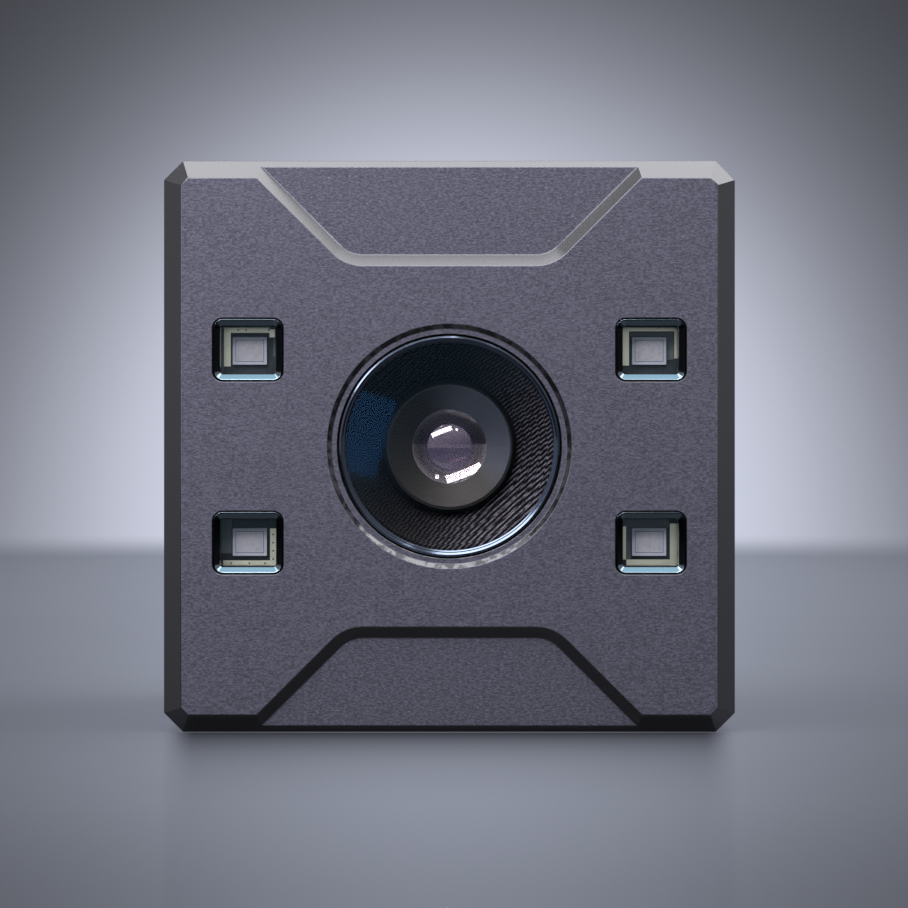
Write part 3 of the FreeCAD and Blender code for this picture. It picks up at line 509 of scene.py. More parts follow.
@dataclass(frozen=True)
class Spot:
    """Soft round film of colour painted into a coating, by the height of its middle over the lens
    axis in mm; the films paint shade and reflection.
    """

    z: float
    radius: float
    colour: Colour
    share: float
    soft: float

    def mask(self, x: Wire, z: Wire) -> Wire:
        """Share of the film at x and z from the lens axis, 0 outside it."""
        across, up = x / (self.radius * MM), (z - self.z * MM) / (self.radius * MM)
        return (across * across + up * up).step(1.0, self.soft) * self.share


@dataclass(frozen=True)
class Coated(Surface):
    """Thin clear glass: mostly see-through, with a tinted mirror share and faint smears.

    The mirror share falls by lean towards one side of the lens axis. Behind the middle of the
    solid that back_of names, which is the back face of a lens, back_mirror comes on top.
    """

    tint: Colour
    mirror: float
    through: Colour = (0.97, 0.98, 0.98)
    roughness: float = 0.015
    lean: float = 0.0
    back_mirror: float = 0.0
    back_of: str = ""
    spots: tuple[Spot, ...] = ()

    def shader(self, paint: Paint) -> Socket:
        """Make the shader of coated glass.

        Args:
            paint: Its material.

        Returns:
            The shader.
        """
        smear = paint.speckle(2.5 * MM, 3.0)
        rough = smear.step(0.4, 0.8) * 0.02 + self.roughness
        clear = paint.shader("BsdfTransparent", Color=self.through)
        gloss = paint.shader("BsdfAnisotropic", Color=self.tint, Roughness=rough)
        share = self.mirror * (0.9 + 0.2 * smear)
        x, y, z = paint.lens_axes()
        if self.lean:
            share = share * (1 - self.lean * (x * 0.6 - z * 0.8).step(-5 * MM, 5 * MM))
        if self.back_of:
            glass = Extent.of(self.back_of)
            middle = (glass.front + glass.back) / 2
            share = share + y.step(middle, middle + 0.1 * MM) * self.back_mirror
        # painted shade and reflection: each spot's film lies over what shows through the glass
        for spot in self.spots:
            film = paint.shader("BsdfDiffuse", Color=spot.colour)
            clear = paint.mixed(spot.mask(x, z), clear, film)
        return paint.mixed(share, clear, gloss)


@dataclass(frozen=True)
class Laminate(Surface):
    """Circuit board: glossy solder mask over a faint woven cloth, with buried copper areas."""

    mask: Colour
    copper: Colour
    weave: float = 0.45 * MM
    relief: float = 0.012 * MM

    def shader(self, paint: Paint) -> Socket:
        """Make the shader of a circuit board.

        Args:
            paint: Its material.

        Returns:
            The shader.
        """
        x, _, z = paint.axes()
        turn = 2 * math.pi / self.weave
        cloth = (x * turn).through("SINE") * (z * turn).through("SINE") * 0.5 + 0.5
        area = paint.speckle(6 * MM, 0.0).step(0.47, 0.53)
        fine = paint.speckle(0.3 * MM, 2.0)
        base = paint.blend(area * 0.8, self.mask, self.copper)
        base = paint.blend(fine.step(0.3, 0.7) * 0.12, base, BLACK)
        return paint.shader(
            "BsdfPrincipled", Base_Color=base, Roughness=0.32 + fine * 0.12,
            Normal=paint.relief(cloth * 0.5 + area, self.relief), Coat_Weight=0.2, Coat_Roughness=0.15)


HOUSING_METAL = Blasted(
    tone(89, 88, 103), 0.44, 0.85, 0.13 * MM, 0.012 * MM, 0.3, 0.14, (2.4, 1.0, 1.0))
FINISHES: dict[str, Surface] = {
    "front_metal": HOUSING_METAL,
    "body_metal": HOUSING_METAL,
    "seal_rubber": Finish(tone(22, 22, 24), 0.72, grain=0.15 * MM, relief=0.008 * MM),
    "black_steel": Finish(tone(42, 42, 46), 0.38, 0.8, 0.12 * MM, 0.003 * MM, 0.25),
    "plain_steel": Finish(tone(176, 176, 178), 0.3, 1.0, 0.1 * MM, 0.002 * MM, 0.12),
    "cover_glass": Coated(tone(150, 200, 235), 0.013, lean=0.85),
    "pane_glass": Coated(tone(120, 180, 215), 0.015),
    "baffle_black": Hatched(tone(7, 6, 8), 0.55, 0.0, 0.3 * MM, 0.03 * MM, 0.2, 0.2, specular=0.06),
    "lens_metal": Finish(tone(34, 34, 38), 0.4, 0.6, 0.12 * MM, 0.004 * MM, 0.2),
    "nose_metal": Dished(tone(42, 38, 38), 0.36, 0.7, 0.15 * MM, 0.003 * MM, 0.1, 0.06),
    "lens_glass": Coated(tone(160, 120, 235), 0.16),
    "front_coating": Coated(
        tone(250, 228, 242), 0.14, back_mirror=0.3, back_of="lens_front_element",
        # painted shade: a dark film over the mouth darkens the lens interior; painted reflection: a
        # violet film stands for the coatings' violet glow
        spots=(Spot(-0.1, 3.95, tone(26, 24, 34), 0.3, 0.8),
               Spot(-0.1, 2.75, tone(92, 80, 128), 0.34, 0.7))),
    "middle_coating": Coated(
        tone(255, 120, 105), 0.3, back_mirror=0.2, back_of="lens_middle_element"),
    "filter_glass": Coated(tone(215, 120, 140), 0.12, (0.72, 0.84, 0.86)),
    "holder_plastic": Finish(tone(26, 26, 28), 0.55, grain=0.25 * MM, relief=0.01 * MM),
    "board_laminate": Laminate(tone(10, 19, 30), tone(30, 40, 48)),
    "emitter_body": Finish(tone(200, 200, 216), 0.45, 0.0, 0.2 * MM, 0.003 * MM, 0.08),
    "emitter_fill": Finish(tone(198, 192, 204), 0.28, 0.0, 0.35 * MM, 0.004 * MM, 0.06, coat=0.4),
    "thermal_pad": Finish(tone(120, 134, 150), 0.8, grain=0.3 * MM, relief=0.01 * MM),
    "bare_aluminium": Finish(tone(188, 190, 194), 0.36, 1.0, 0.15 * MM, 0.004 * MM, 0.1,
                             stretch=(12.0, 1.0, 1.0)),
    "black_plastic": Finish(tone(30, 30, 33), 0.5, grain=0.2 * MM, relief=0.006 * MM),
    "sensor_ceramic": Finish(tone(70, 62, 60), 0.5, grain=0.3 * MM, relief=0.004 * MM),
    "socket_metal": Finish(tone(186, 184, 176), 0.28, 1.0, 0.1 * MM, 0.002 * MM, 0.08),
    "contact_gold": Finish(tone(226, 184, 98), 0.22, 1.0, 0.1 * MM, 0.001 * MM, 0.06),
    "light_pipe": Finish(tone(205, 208, 206), 0.25, grain=0.4 * MM, relief=0.002 * MM, coat=0.5),
    "bright_track": Finish(tone(240, 236, 214), 0.3, 1.0, 0.12 * MM, 0.003 * MM, 0.06),
    "copper_area": Finish(tone(100, 106, 112), 0.35, 0.0, 0.2 * MM, 0.002 * MM, 0.1, coat=0.2),
    "plated_hole": Finish(tone(40, 38, 34), 0.5, 0.3, 0.1 * MM, 0.001 * MM, 0.1),
    "pane_edge": PolishedPaintedLightEdge(tone(64, 84, 97), 0.08, 1.0, 0.3 * MM, rough_swing=0.05),
    "port_edge": Finish(tone(70, 77, 90), 0.09, 1.0, 0.3 * MM, 0.001 * MM, 0.1, 0.06),
}
MATERIALS = {name: surface.paint(name) for name, surface in FINISHES.items()}


# ---- shapes
def grid_faces(rows: int, columns: int, round_rows: bool = False) -> list[list[int]]:
    """Quads of a grid of points whose columns close on themselves.

    Args:
        rows: Points along the profile.
        columns: Points round it.
        round_rows: Whether the last row also joins the first.

    Returns:
        Four point numbers for each quad.
    """
    row, column = np.meshgrid(
        np.arange(rows if round_rows else rows - 1), np.arange(columns), indexing="ij")
    below, beside = (row + 1) % rows, (column + 1) % columns
    corners = ((row, column), (row, beside), (below, beside), (below, column))
    quads = np.stack([line * columns + place for line, place in corners], -1)
    return quads.reshape(-1, 4).tolist()


def linked(name: str, data: bpy.types.ID) -> Piece:
    """Object of a mesh, lamp or camera, linked to the scene.

    Args:
        name: Its name.
        data: What it shows.

    Returns:
        The object.
    """
    made = bpy.data.objects.new(name, data)
    bpy.context.scene.collection.objects.link(made)
    return made


def build_mesh(name: str, points: np.ndarray, faces: list[list[int]]) -> Piece:
    """Object of a mesh with its doubles merged and its normals outward.

    Args:
        name: Name of the object.
        points: Rows of x, y and z in metres.
        faces: Point numbers of each face.

    Returns:
        The object.
    """
    mesh = bpy.data.meshes.new(name)
    mesh.from_pydata(points.reshape(-1, 3).tolist(), [], faces)
    tidy = bmesh.new()
    tidy.from_mesh(mesh)
    bmesh.ops.remove_doubles(tidy, verts=tidy.verts, dist=1e-7)
    bmesh.ops.recalc_face_normals(tidy, faces=tidy.faces)
    tidy.to_mesh(mesh)
    tidy.free()
    return linked(name, mesh)


def turned(name: str, profile: Profile, centre: Sequence[float], steps: int,
           ring: bool = True) -> Piece:
    """Surface of revolution about a line along Y.

    Point (turn, profile) = centre + radius * (cos turn, sin turn) across, profile depth along.

    Args:
        name: Name of the object.
        profile: Radius and y of each corner in metres.
        centre: x and z of the line.
        steps: Divisions round the circle.
        ring: Whether the profile closes on itself.

    Returns:
        The object.
    """
    corners = np.asarray(profile, float)
    turn = np.linspace(0, 2 * math.pi, steps, endpoint=False)
    radius, depth = corners[:, :1], corners[:, 1:]
    points = np.stack([
        centre[0] + radius * np.cos(turn),
        np.broadcast_to(depth, (len(corners), steps)),
        centre[1] + radius * np.sin(turn),
    ], -1)
    return build_mesh(name, points, grid_faces(len(corners), steps, ring))


def framed(name: str, half: Sequence[float], corner: float, profile: Profile,
           centre: Sequence[float], ring: bool) -> Piece:
    """Frame or plate of a profile carried round a rounded rectangle.

    An inset shrinks the rectangle and its corner radius together, so that a wall keeps its
    width and meets the next one in a mitre once the radius is used up.

    Args:
        name: Name of the object.
        half: Half width and half height at no inset.
        corner: Corner radius at no inset.
        profile: Inset and y of each corner of the section.
        centre: x and z of the middle.
        ring: Whether the section closes on itself; otherwise both ends are capped flat.

    Returns:
        The object.
    """
    section = np.asarray(profile, float)
    inset, depth = section[:, :1], section[:, 1:]
    quarter = np.linspace(0, math.pi / 2, ARC_STEPS + 1)
    turn = np.concatenate([quarter + quadrant * math.pi / 2 for quadrant in range(4)])
    side_x = np.repeat([1, -1, -1, 1], ARC_STEPS + 1)
    side_z = np.repeat([1, 1, -1, -1], ARC_STEPS + 1)
    radius = np.maximum(corner - inset, 1e-6)
    x = centre[0] + side_x * (half[0] - inset - radius) + radius * np.cos(turn)
    z = centre[1] + side_z * (half[1] - inset - radius) + radius * np.sin(turn)
    rows, columns = x.shape
    faces = grid_faces(rows, columns, ring)
    if not ring:
        faces += [list(range(columns)), list(range((rows - 1) * columns, rows * columns))]
    return build_mesh(name, np.stack([x, np.broadcast_to(depth, x.shape), z], -1), faces)


def smooth(piece: Piece, crease: float = 32.0, edge: float = 0.0, turn: float = 20.0,
           segments: int = 2) -> Piece:
    """Shade a piece smooth, and give it a fine rounding wherever its faces turn sharply.

    Args:
        piece: The piece.
        crease: Turn in degrees that stays a crease.
        edge: Width of the rounding in metres, 0 for none.
        turn: Least turn in degrees that is rounded.
        segments: Faces across the rounding.

    Returns:
        The piece.
    """
    mesh = piece.data
    mesh.polygons.foreach_set("use_smooth", np.ones(len(mesh.polygons), bool))
    mesh.set_sharp_from_angle(angle=math.radians(crease))
    if edge:
        rounding = piece.modifiers.new("edge", "BEVEL")
        rounding.width = edge
        rounding.segments = segments
        rounding.limit_method = "ANGLE"
        rounding.angle_limit = math.radians(turn)
        rounding.use_clamp_overlap = False
        rounding.harden_normals = True
    return piece


def placed(piece: Piece, finish: str, slot: str, *nodes: str) -> Piece:
    """Dress a new piece, let it ride on the camera and hide the solids that it stands for.

    Args:
        piece: The piece.
        finish: Key of its finish.
        slot: Material slot of the record; not used.
        *nodes: Solids that it stands for.

    Returns:
        The piece.
    """
    piece.data.materials.clear()
    piece.data.materials.append(MATERIALS[finish])
    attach(piece, "root")
    if nodes:
        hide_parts(*nodes)
    LOG.info("piece %s: finish %s, %d faces", piece.name, finish, len(piece.data.polygons))
    return piece


def clean_copy(node: str) -> Piece:
    """Copy of a solid's mesh with its triangles joined and its flat faces made whole.

    Args:
        node: Name of the solid.

    Returns:
        The copy, with "_shell" after the solid's name.
    """
    mesh = frame["nodes"][node].data.copy()
    mesh.name = f"{node}_shell"
    tidy = bmesh.new()
    tidy.from_mesh(mesh)
    bmesh.ops.remove_doubles(tidy, verts=tidy.verts, dist=1e-6)
    bmesh.ops.dissolve_limit(
        tidy, angle_limit=math.radians(0.4), verts=tidy.verts, edges=tidy.edges)
    tidy.to_mesh(mesh)
    tidy.free()
    custom = mesh.attributes.get("custom_normal")
    if custom:
        mesh.attributes.remove(custom)
    return linked(mesh.name, mesh)


def cap_profile(radius: float, sag: float, face: float, steps: int = 24) -> list:
    """Profile of a round lens face: depth = face - height of a sphere of that sag over its rim.

    Args:
        radius: Radius of the rim.
        sag: Height of the middle over the rim towards -Y; below 0 for a hollow face.
        face: y of the rim.
        steps: Divisions from rim to middle.

    Returns:
        Radius and y, from the rim to the middle.
    """
    ball = (radius ** 2 + sag ** 2) / (2 * abs(sag))
    across = radius * np.sin(np.linspace(math.pi / 2, 0, steps + 1))
    height = np.sqrt(ball ** 2 - across ** 2) - (ball - abs(sag))
    return list(zip(across.tolist(), (face - math.copysign(1, sag) * height).tolist()))


# ---- sub-assemblies
def dress_solids() -> None:
    """Give every solid that shows as it is the material of its slot."""
    slots = {part["node"]: part["material_slot"] for part in frame["record"]["subparts"]}
    for node, piece in frame["nodes"].items():
        piece.data.materials.clear()
        piece.data.materials.append(MATERIALS[slots[node]])
        LOG.info("solid %s: finish %s", node, slots[node])


@dataclass
class HousingShell:
    """One piece of the housing, with the fine broken edges of machined metal."""

    node: str
    finish: str
    edge: float
    crease: float = 24.0
    turn: float = 34.0

    def build(self) -> None:
        """Make the piece."""
        piece = smooth(clean_copy(self.node), self.crease, self.edge, self.turn)
        placed(piece, self.finish, self.finish, self.node)


@dataclass
class PortWindow:
    """Round glass of the lens port: a clear plate inside a shallow polished rim.

    The facets of the rim are insets from its edge and depths below its lip in millimetres.
    """

    facets: Profile = ((0.0, 0.1), (0.03, 0.055), (0.22, 0.0), (0.44, 0.061), (0.54, 0.066),
                       (0.68, 0.104))
    dish: float = 0.13 * MM
    gap: float = 0.01 * MM
    edge: float = 0.02 * MM
    steps: int = 192

    def build(self) -> None:
        """Make the rim and the clear plate."""
        glass = Extent.of("cover_window")
        facets = [(glass.half[0] - inset * MM, glass.front + depth * MM)
                  for inset, depth in self.facets]
        inner, floor = facets[-1][0], glass.front + self.dish
        profile = [(glass.half[0], glass.back), *facets, (inner, glass.back)]
        rim = turned("cover_window_rim", profile, glass.centre, self.steps)
        placed(smooth(rim, 8, self.edge), "port_edge", "cover_glass", "cover_window")
        seat = inner - self.gap
        profile = [(0.0, floor), (seat, floor), (seat, glass.back), (0.0, glass.back)]
        plate = turned("cover_window_plate", profile, glass.centre, self.steps, False)
        placed(smooth(plate), "cover_glass", "cover_glass")


@dataclass
class LensElement:
    """Glass element that shows in the mouth of the lens, as a closed solid.

    The sags are the heights of its front and back face in millimetres, towards the front.
    """

    node: str
    name: str
    sags: tuple[float, float]
    finish: str
    mouth: float = 3.95 * MM
    flat_rim: float = 0.3 * MM
    gap: float = 0.02 * MM

    def build(self) -> None:
        """Make the element."""
        glass = Extent.of(self.node)
        front_sag, back_sag = (sag * MM for sag in self.sags)
        radius = glass.half[0] - self.gap
        optic = min(self.mouth, radius - self.flat_rim)
        front_rim = glass.front + max(front_sag, 0)
        back_rim = glass.back - max(-back_sag, 0)
        profile = cap_profile(optic, front_sag, front_rim)[::-1]
        profile += [(radius, front_rim), (radius, back_rim)]
        profile += cap_profile(optic, back_sag, back_rim)
        piece = turned(self.name, profile, glass.centre, 96, False)
        placed(smooth(piece, 40), self.finish, "lens_glass", self.node)


class Corner(Enum):
    """Corner of the front that an emitter window sits in."""

    TOP_LEFT = "top_left"
    TOP_RIGHT = "top_right"
    BOTTOM_LEFT = "bottom_left"
    BOTTOM_RIGHT = "bottom_right"


@dataclass(frozen=True)
class WindowLayout:
    """What shows on the board behind one emitter window, from the package's middle in mm.

    Strips of bare metal and buried copper areas are left, right, bottom and top; plated
    holes are x and z.
    """

    strips: Rows
    areas: Rows
    holes: Rows = ()


LAYOUTS = {
    Corner.TOP_LEFT: WindowLayout(
        ((-2.77, -2.05, -1.63, 2.62), (-2.05, 2.05, 1.93, 2.62), (2.05, 2.62, 1.45, 2.3)),
        ((-3.35, -2.85, -3.0, 2.9), (2.46, 2.66, -0.6, 1.4)),
        ((-1.27, 2.23), (-0.42, 2.23), (2.0, 2.25))),
    Corner.TOP_RIGHT: WindowLayout(
        ((-2.83, -2.1, -1.54, 2.77), (-2.1, 2.68, 2.08, 2.77), (2.68, 3.07, -0.78, 2.77)),
        ((1.9, 2.6, -0.9, 2.0), (-2.0, 1.9, 1.55, 2.0)),
        ((1.02, 2.5), (1.96, 2.5))),
    Corner.BOTTOM_LEFT: WindowLayout(
        ((2.11, 2.77, -1.96, 1.42), (-2.86, 2.77, -2.59, -1.96)),
        ((-3.3, -1.95, -1.2, 2.7),),
        ((2.44, 0.78), (2.44, -0.09), (2.44, -0.95), (2.44, -1.81), (-2.02, -2.26), (-0.09, -2.26),
         (1.57, -2.26))),
    Corner.BOTTOM_RIGHT: WindowLayout(
        ((2.23, 3.04, -1.86, 1.94), (-2.38, 3.04, -2.52, -1.86), (-2.74, -2.41, -1.86, 1.64)),
        ((-2.7, 2.15, 1.5, 2.6), (-2.35, -1.9, -1.8, 1.45))),
}


@dataclass
class EmitterWindow:
    """One small window: pane with a sloping rim, and what shows on the board behind."""

    corner: Corner
    layout: WindowLayout
    rim: float = 0.14 * MM
    slope: float = 0.55 * MM
    slope_depth: float = 0.46 * MM
    dish: float = 0.6 * MM
    outer_corner: float = 1.0 * MM
    inner_corner: float = 0.32 * MM
    edge: float = 0.05 * MM
    gap: float = 0.01 * MM
    strip_height: float = 0.06 * MM
    area_height: float = 0.02 * MM
    hole: float = 0.09 * MM
    hole_rise: float = 0.004 * MM
    line_inset: float = 0.30 * MM
    line: float = 0.05 * MM
    line_corner: float = 0.12 * MM

    def build(self) -> None:
        """Make the pane and what lies on the board behind it."""
        self.pane()
        self.sheet("tracks", self.layout.strips, self.strip_height, "bright_track")
        self.sheet("copper", self.layout.areas, self.area_height, "copper_area")
        self.package_line()
        self.holes()

    @property
    def package(self) -> Extent:
        """Box of the package behind the window."""
        return Extent.of(f"emitter_package_{self.corner.value}")

    def pane(self) -> None:
        """Make the sloping rim and the clear plate inside it."""
        node = f"emitter_window_{self.corner.value}"
        glass = Extent.of(node)
        inner = self.rim + self.slope
        profile = [(0, glass.back), (0, glass.front), (self.rim, glass.front),
                   (inner, glass.front + self.slope_depth), (inner, glass.back)]
        rim = framed(f"pane_rim_{self.corner.value}", glass.half, self.outer_corner, profile,
                     glass.centre, True)
        placed(smooth(rim, 20, self.edge, segments=3), "pane_edge", "pane_glass", node)
        half = [side - inner - self.gap for side in glass.half]
        plate = framed(f"pane_{self.corner.value}", half, self.inner_corner,
                       [(0, glass.front + self.dish), (0, glass.back)], glass.centre, False)
        placed(smooth(plate), "pane_glass", "pane_glass")

    def sheet(self, kind: str, strips: Rows, height: float, finish: str) -> None:
        """Make one piece of several flat strips that lie on the board.

        Args:
            kind: First part of the piece's name.
            strips: Edges of the strips.
            height: How far they stand up from the board.
            finish: Their finish.
        """
        edges, package = np.array(strips) * MM, self.package
        x = package.centre[0] + edges[:, [0, 1, 1, 0]]
        z = package.centre[1] + edges[:, [2, 2, 3, 3]]
        layers = [np.stack([x, np.full_like(x, y), z], -1)
                  for y in (package.back - 0.001 * MM, package.back - height)]
        box = np.array([
            (0, 1, 2, 3), (7, 6, 5, 4), (0, 4, 5, 1), (1, 5, 6, 2), (2, 6, 7, 3), (3, 7, 4, 0)])
        faces = (box[None] + 8 * np.arange(len(strips))[:, None, None]).reshape(-1, 4).tolist()
        piece = build_mesh(f"{kind}_{self.corner.value}", np.concatenate(layers, 1), faces)
        placed(piece, finish, "board_laminate")

    def package_line(self) -> None:
        """Make the dark line round the top of the package."""
        package, inset, wide = self.package, self.line_inset, self.line_inset + self.line
        lift = package.front - 0.01 * MM
        profile = [(inset, lift), (wide, lift), (wide, package.front), (inset, package.front)]
        line = framed(f"package_line_{self.corner.value}", package.half, self.line_corner, profile,
                      package.centre, True)
        placed(line, "plated_hole", "board_laminate")

    def holes(self) -> None:
        """Make the dark plated holes in the strips."""
        face = self.package.back - self.strip_height
        rise = face - self.hole_rise
        profile = [(0, rise), (self.hole, rise), (self.hole, face), (0, face)]
        for index, place in enumerate(self.layout.holes):
            centre = np.array(self.package.centre) + np.array(place) * MM
            name = f"plated_hole_{self.corner.value}_{index}"
            placed(smooth(turned(name, profile, centre, 16, False)), "plated_hole", "board_laminate")


@dataclass
class Sockets:
    """Threads of the two round sockets at the back: outside the pins' shell, inside the other.

    The radii up to the bore are of the pins' shell. Seat, shoulder and the depth of the data
    thread are counted from the shells' rear ends.
    """

    pitch: float = 1.0 * MM
    tooth: float = 0.42 * MM
    chamfer: float = 0.35 * MM
    neck: float = 7.9 * MM
    collar: float = 6.0 * MM
    pocket: float = 5.25 * MM
    bore: float = 4.25 * MM
    pocket_depth: float = 2.0 * MM
    seat: float = 8.5 * MM
    shoulder: float = 6.0 * MM
    data_mouth: float = 5.44 * MM
    data_depth: float = 6.6 * MM

    def build(self) -> None:
        """Make the shell round the pins and the thread in the other socket's mouth."""
        self.power_shell()
        self.data_thread()

    def teeth(self, start: float, stop: float, crest: float, root: float) -> list:
        """Corners of a row of sharp threads along Y.

        Args:
            start: y of the first crest.
            stop: y that the last crest doesn't pass.
            crest: Radius of the crests.
            root: Radius of the roots.

        Returns:
            Radius and y of each corner.
        """
        count = int((stop - start) / self.pitch)
        step = np.arange(count)[:, None] * self.pitch + start
        flat = self.pitch * np.array([0.0, 0.14, 0.45, 0.55, 0.86])
        radii = np.array([crest, crest, root, root, crest])
        corners = np.stack([np.broadcast_to(radii, (count, 5)), step + flat], -1)
        return corners.reshape(-1, 2).tolist()

    def power_shell(self) -> None:
        """Make the flanged shell whose collar is threaded outside."""
        shell = Extent.of("power_socket_shell")
        flange, chamfer, end = shell.half[0], self.chamfer, shell.back
        seat, shoulder, root = end - self.seat, end - self.shoulder, self.collar - self.tooth
        profile = [
            (self.pocket, shell.front), (self.neck, shell.front), (self.neck, seat), (flange, seat),
            (flange, shoulder - chamfer), (flange - chamfer, shoulder), (root, shoulder)]
        profile += self.teeth(shoulder + 0.5 * MM, end - 0.4 * MM, self.collar, root)
        floor = shell.front + self.pocket_depth
        profile += [
            (self.collar, end - chamfer), (self.collar - chamfer, end),
            (self.bore + chamfer / 2, end), (self.bore, end - chamfer / 2), (self.bore, floor),
            (self.pocket, floor)]
        piece = turned("power_socket_threaded_shell", profile, shell.centre, 96)
        placed(smooth(piece, 30), "socket_metal", "socket_metal", "power_socket_shell")

    def data_thread(self) -> None:
        """Make the ring of threads inside the wider mouth."""
        shell, wall = Extent.of("data_socket_shell"), self.data_mouth
        start, stop = shell.back - self.data_depth, shell.back - 0.5 * MM
        crests = self.teeth(start, stop, wall - self.tooth, wall - 0.04 * MM)
        profile = [(wall, start), *crests, (wall, crests[-1][1])]
        ring = turned("data_socket_thread", profile, shell.centre, 96)
        placed(smooth(ring, 30), "socket_metal", "socket_metal")


# ---- stage
CAMERA_DISTANCE = 0.45


@dataclass(frozen=True)
class SweepCloth(Surface):
    """Matt sweep with a soft glow behind the camera and a weak mirror of the floor.

    Levels are brightness, where 1 is white; the floor's go from front to back.
    """

    floor_tone: Colour = (0.93, 1.0, 1.25)
    wall_tone: Colour = (0.94, 0.985, 1.17)
    tent_tone: Colour = (0.98, 1.0, 1.03)
    plain_wall: float = tone(160, 163, 178)[1]
    matt_share: float = 0.20
    spread_share: float = 0.42
    mirror_share: float = 0.03
    pool_height: float = 0.021
    pool_radius: float = 0.1235
    floor_stops: Profile = (
        (0.0, 0.5), (0.24, 0.4), (0.394, 0.19), (0.424, 0.23), (0.4685, 0.322), (0.5145, 0.37),
        (0.5576, 0.422), (0.636, 0.467), (0.769, 0.529), (1.0, 0.60))
    floor_start: float = 0.9
    floor_length: float = 1.65
    shade_length: float = 0.040
    shade_depth: float = 0.9

    def shader(self, paint: Paint) -> Socket:
        """Make the shader of floor and wall.

        Args:
            paint: Its material.

        Returns:
            The shader.
        """
        x, y, z = paint.axes()
        path = paint.node("LightPath").outputs
        seen = Wire(paint, path["Is Camera Ray"]) + Wire(paint, path["Is Transmission Ray"])
        shine = self.glow(paint, self.wall_level(x, y, z), self.wall_tone)
        tent = self.glow(paint, self.tent_level(x, y, z), self.tent_tone)
        wall = paint.mixed(seen, tent, shine)
        level = self.floor_level(x, y)
        cloth = paint.blend(level * self.matt_share, BLACK, self.floor_tone)
        matt = paint.shader("BsdfDiffuse", Color=cloth)
        spread = self.glow(paint, level * seen * self.spread_share, self.floor_tone)
        ground = paint.node("AddShader", {0: matt, 1: spread}).outputs[0]
        mirror = paint.shader("BsdfAnisotropic", Color=(0.9, 0.9, 0.9), Roughness=0.1)
        floor = paint.mixed(self.mirror_share, ground, mirror)
        return paint.mixed(z.step(-0.001, 0.006), floor, wall)

    @staticmethod
    def glow(paint: Paint, level: Wire, colour: Colour) -> Socket:
        """Emission of a level, in the colour that it has at level 1."""
        return paint.shader("Emission", Color=paint.blend(level, BLACK, colour), Strength=1.0)

    def wall_level(self, x: Wire, y: Wire, z: Wire) -> Wire:
        """Backdrop: a bright pool behind the camera on a pale wall.

        Args:
            x: Coordinate across.
            y: Coordinate from front to back.
            z: Height.

        Returns:
            Its level.
        """
        off = x.distance(z - self.pool_height)
        pool = 0.7 / (1 + (off / self.pool_radius) ** 5) + 0.02
        behind = y.step(0.2, 0.6) * off.step(0.34, 0.22)
        return pool * behind + self.plain_wall * (1 - behind)

    @staticmethod
    def tent_level(x: Wire, y: Wire, z: Wire) -> Wire:
        """Level that the faces see: bright above in front, dim low on the right."""
        return 0.42 + y.step(-0.3, -0.7) * (0.05 + z.step(0.03, 0.5) * 0.5 - x * 0.42)

    def floor_level(self, x: Wire, y: Wire) -> Wire:
        """Floor: painted light, paler towards the back and the middle, with a painted soft shadow at
        the front's foot.

        Args:
            x: Coordinate across.
            y: Coordinate from front to back.

        Returns:
            Its level.
        """
        # painted light: the floor is paler towards the back and the middle, like a pool of light
        stops = [(place, (level,) * 3) for place, level in self.floor_stops]
        along = (y + self.floor_start) / self.floor_length
        ramp = x.paint.node("ValToRGB", {0: along}, stops=stops).outputs[0]
        depth = Wire(x.paint, x.paint.node("SeparateColor", {0: ramp}).outputs[0])
        front = Extent.of("front_housing").front
        aside = (x / (y + (CAMERA_DISTANCE - front))).through("ABSOLUTE")
        ahead = (front - y).through("MAXIMUM", 0.0)
        # painted shadow: the floor darkens just in front of the face's foot
        shade = (ahead / -self.shade_length).through("EXPONENT") * y.step(-0.036, -0.0385)
        under = shade * aside.step(0.0675, 0.0590) * self.shade_depth
        middle = 1 / (1 + (aside / 0.1) ** 2)
        return depth * middle.through("MAXIMUM", 0.46) * (1 - under)


@dataclass(frozen=True)
class Lamp:
    """Rectangular soft lamp; its power is radiance times pi times its area, its roll in degrees."""

    name: str
    place: Triple
    target: Triple
    size: tuple[float, float]
    radiance: float
    colour: Colour = (1.0, 1.0, 1.0)
    roll: float = 0.0

    def hang(self) -> None:
        """Add the lamp to the scene."""
        data = bpy.data.lights.new(self.name, "AREA")
        data.shape = "RECTANGLE"
        data.size, data.size_y = self.size
        data.energy = self.radiance * math.pi * self.size[0] * self.size[1]
        data.color = self.colour
        lamp = linked(self.name, data)
        lamp.location = self.place
        aim = (Vector(self.target) - Vector(self.place)).to_track_quat("-Z", "Y")
        lamp.rotation_euler = (aim @ Quaternion((0, 0, 1), math.radians(self.roll))).to_euler()
        lamp.visible_camera = False


FACE_MIDDLE: Triple = (0.0, -0.0388, 0.03)
LAMPS = (
    Lamp("overhead_softbox", (0.07, -0.12, 0.62), (0.02, -0.06, 0.03), (1.5, 0.75), 4.8,
         (1.0, 1.0, 0.95)),
    Lamp("key_softbox", (-0.115, -0.476, 0.246), FACE_MIDDLE, (0.31, 0.068), 13.5, roll=25.0),
    Lamp("catch_softbox", (0.100, -0.470, 0.27), FACE_MIDDLE, (0.03, 0.035), 12.0),
    Lamp("glass_softbox", (-0.0186, -0.484, 0.0335), (-0.0093, -0.038, 0.032), (0.010, 0.017), 1.7,
         (0.16, 0.5, 1.0), roll=-16.0),
)


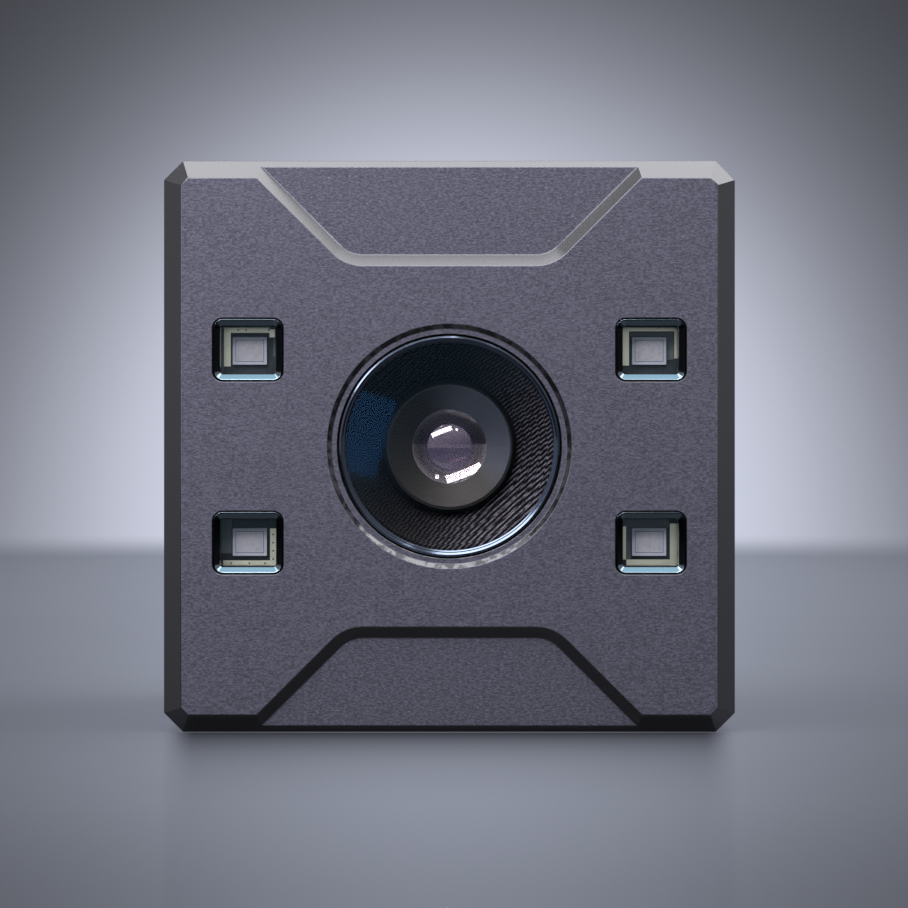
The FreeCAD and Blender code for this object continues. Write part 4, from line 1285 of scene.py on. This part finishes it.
@dataclass
class Studio:
    """Floor, backdrop, lamps and camera."""

    wall: float = 0.9
    wall_height: float = 1.6
    cove: float = 0.16
    steps: int = 96
    sink: float = 0.02 * MM
    lens: float = 170.5
    camera_aside: float = 0.48 * MM
    camera_below: float = 0.8 * MM
    sky: tuple[float, ...] = (0.94, 0.97, 1.06, 1.0)
    sky_level: float = 0.36

    def build(self) -> None:
        """Make the stage."""
        self.backdrop()
        self.world()
        for lamp in LAMPS:
            lamp.hang()
        self.camera()

    def backdrop(self) -> None:
        """Make the round sweep: floor, cove and wall as one turned surface about Z."""
        turn = np.linspace(0, math.pi / 2, 13)
        radius = np.concatenate([
            [0.0, 0.05, 0.2, 0.45], self.wall - self.cove + self.cove * np.sin(turn), [self.wall]])
        height = np.concatenate([
            [0.0] * 4, self.cove - self.cove * np.cos(turn), [self.wall_height]])
        around = np.linspace(0, 2 * math.pi, self.steps, endpoint=False)
        points = np.stack([
            radius[:, None] * np.cos(around), radius[:, None] * np.sin(around),
            np.broadcast_to(height[:, None], (len(radius), self.steps)) - self.sink], -1)
        sweep = build_mesh("studio_sweep", points, grid_faces(len(radius), self.steps))
        cloth = SweepCloth().paint("studio_sweep")
        cloth.cycles.emission_sampling = "NONE"
        sweep.data.materials.append(cloth)
        smooth(sweep, 60)

    def world(self) -> None:
        """Give the world one soft grey level."""
        world = bpy.data.worlds.new("studio_world")
        bpy.context.scene.world = world
        world.use_nodes = True
        sky = world.node_tree.nodes["Background"]
        sky.inputs["Color"].default_value = self.sky
        sky.inputs["Strength"].default_value = self.sky_level

    def camera(self) -> None:
        """Set the camera straight in front of the face, a little right of and below its middle."""
        face = Extent.of("front_housing")
        data = bpy.data.cameras.new("studio_camera")
        data.lens = self.lens
        data.clip_start = 0.01
        camera = linked("studio_camera", data)
        camera.location = (
            self.camera_aside, face.front - CAMERA_DISTANCE, face.centre[1] - self.camera_below)
        camera.rotation_euler = (math.pi / 2, 0, 0)
        bpy.context.scene.camera = camera


def main() -> None:
    """Dress the camera and set the stage."""
    logging.basicConfig(level=logging.INFO, format="%(name)s: %(message)s")
    bpy.context.scene.view_settings.view_transform = "Standard"
    dress_solids()
    parts = [
        HousingShell("front_housing", "front_metal", 0.09 * MM),
        HousingShell("main_body", "body_metal", 0.14 * MM),
        HousingShell("rear_cover", "body_metal", 0.14 * MM),
        PortWindow(),
        LensElement("lens_front_element", "front_glass", (1.1, -0.61), "front_coating"),
        LensElement("lens_middle_element", "middle_glass", (0.55, 0.5), "middle_coating"),
        Sockets(),
    ]
    parts += [EmitterWindow(corner, layout) for corner, layout in LAYOUTS.items()]
    for part in parts + [Studio()]:
        LOG.info("building %s", type(part).__name__)
        part.build()


if __name__ == "__main__":
    main()
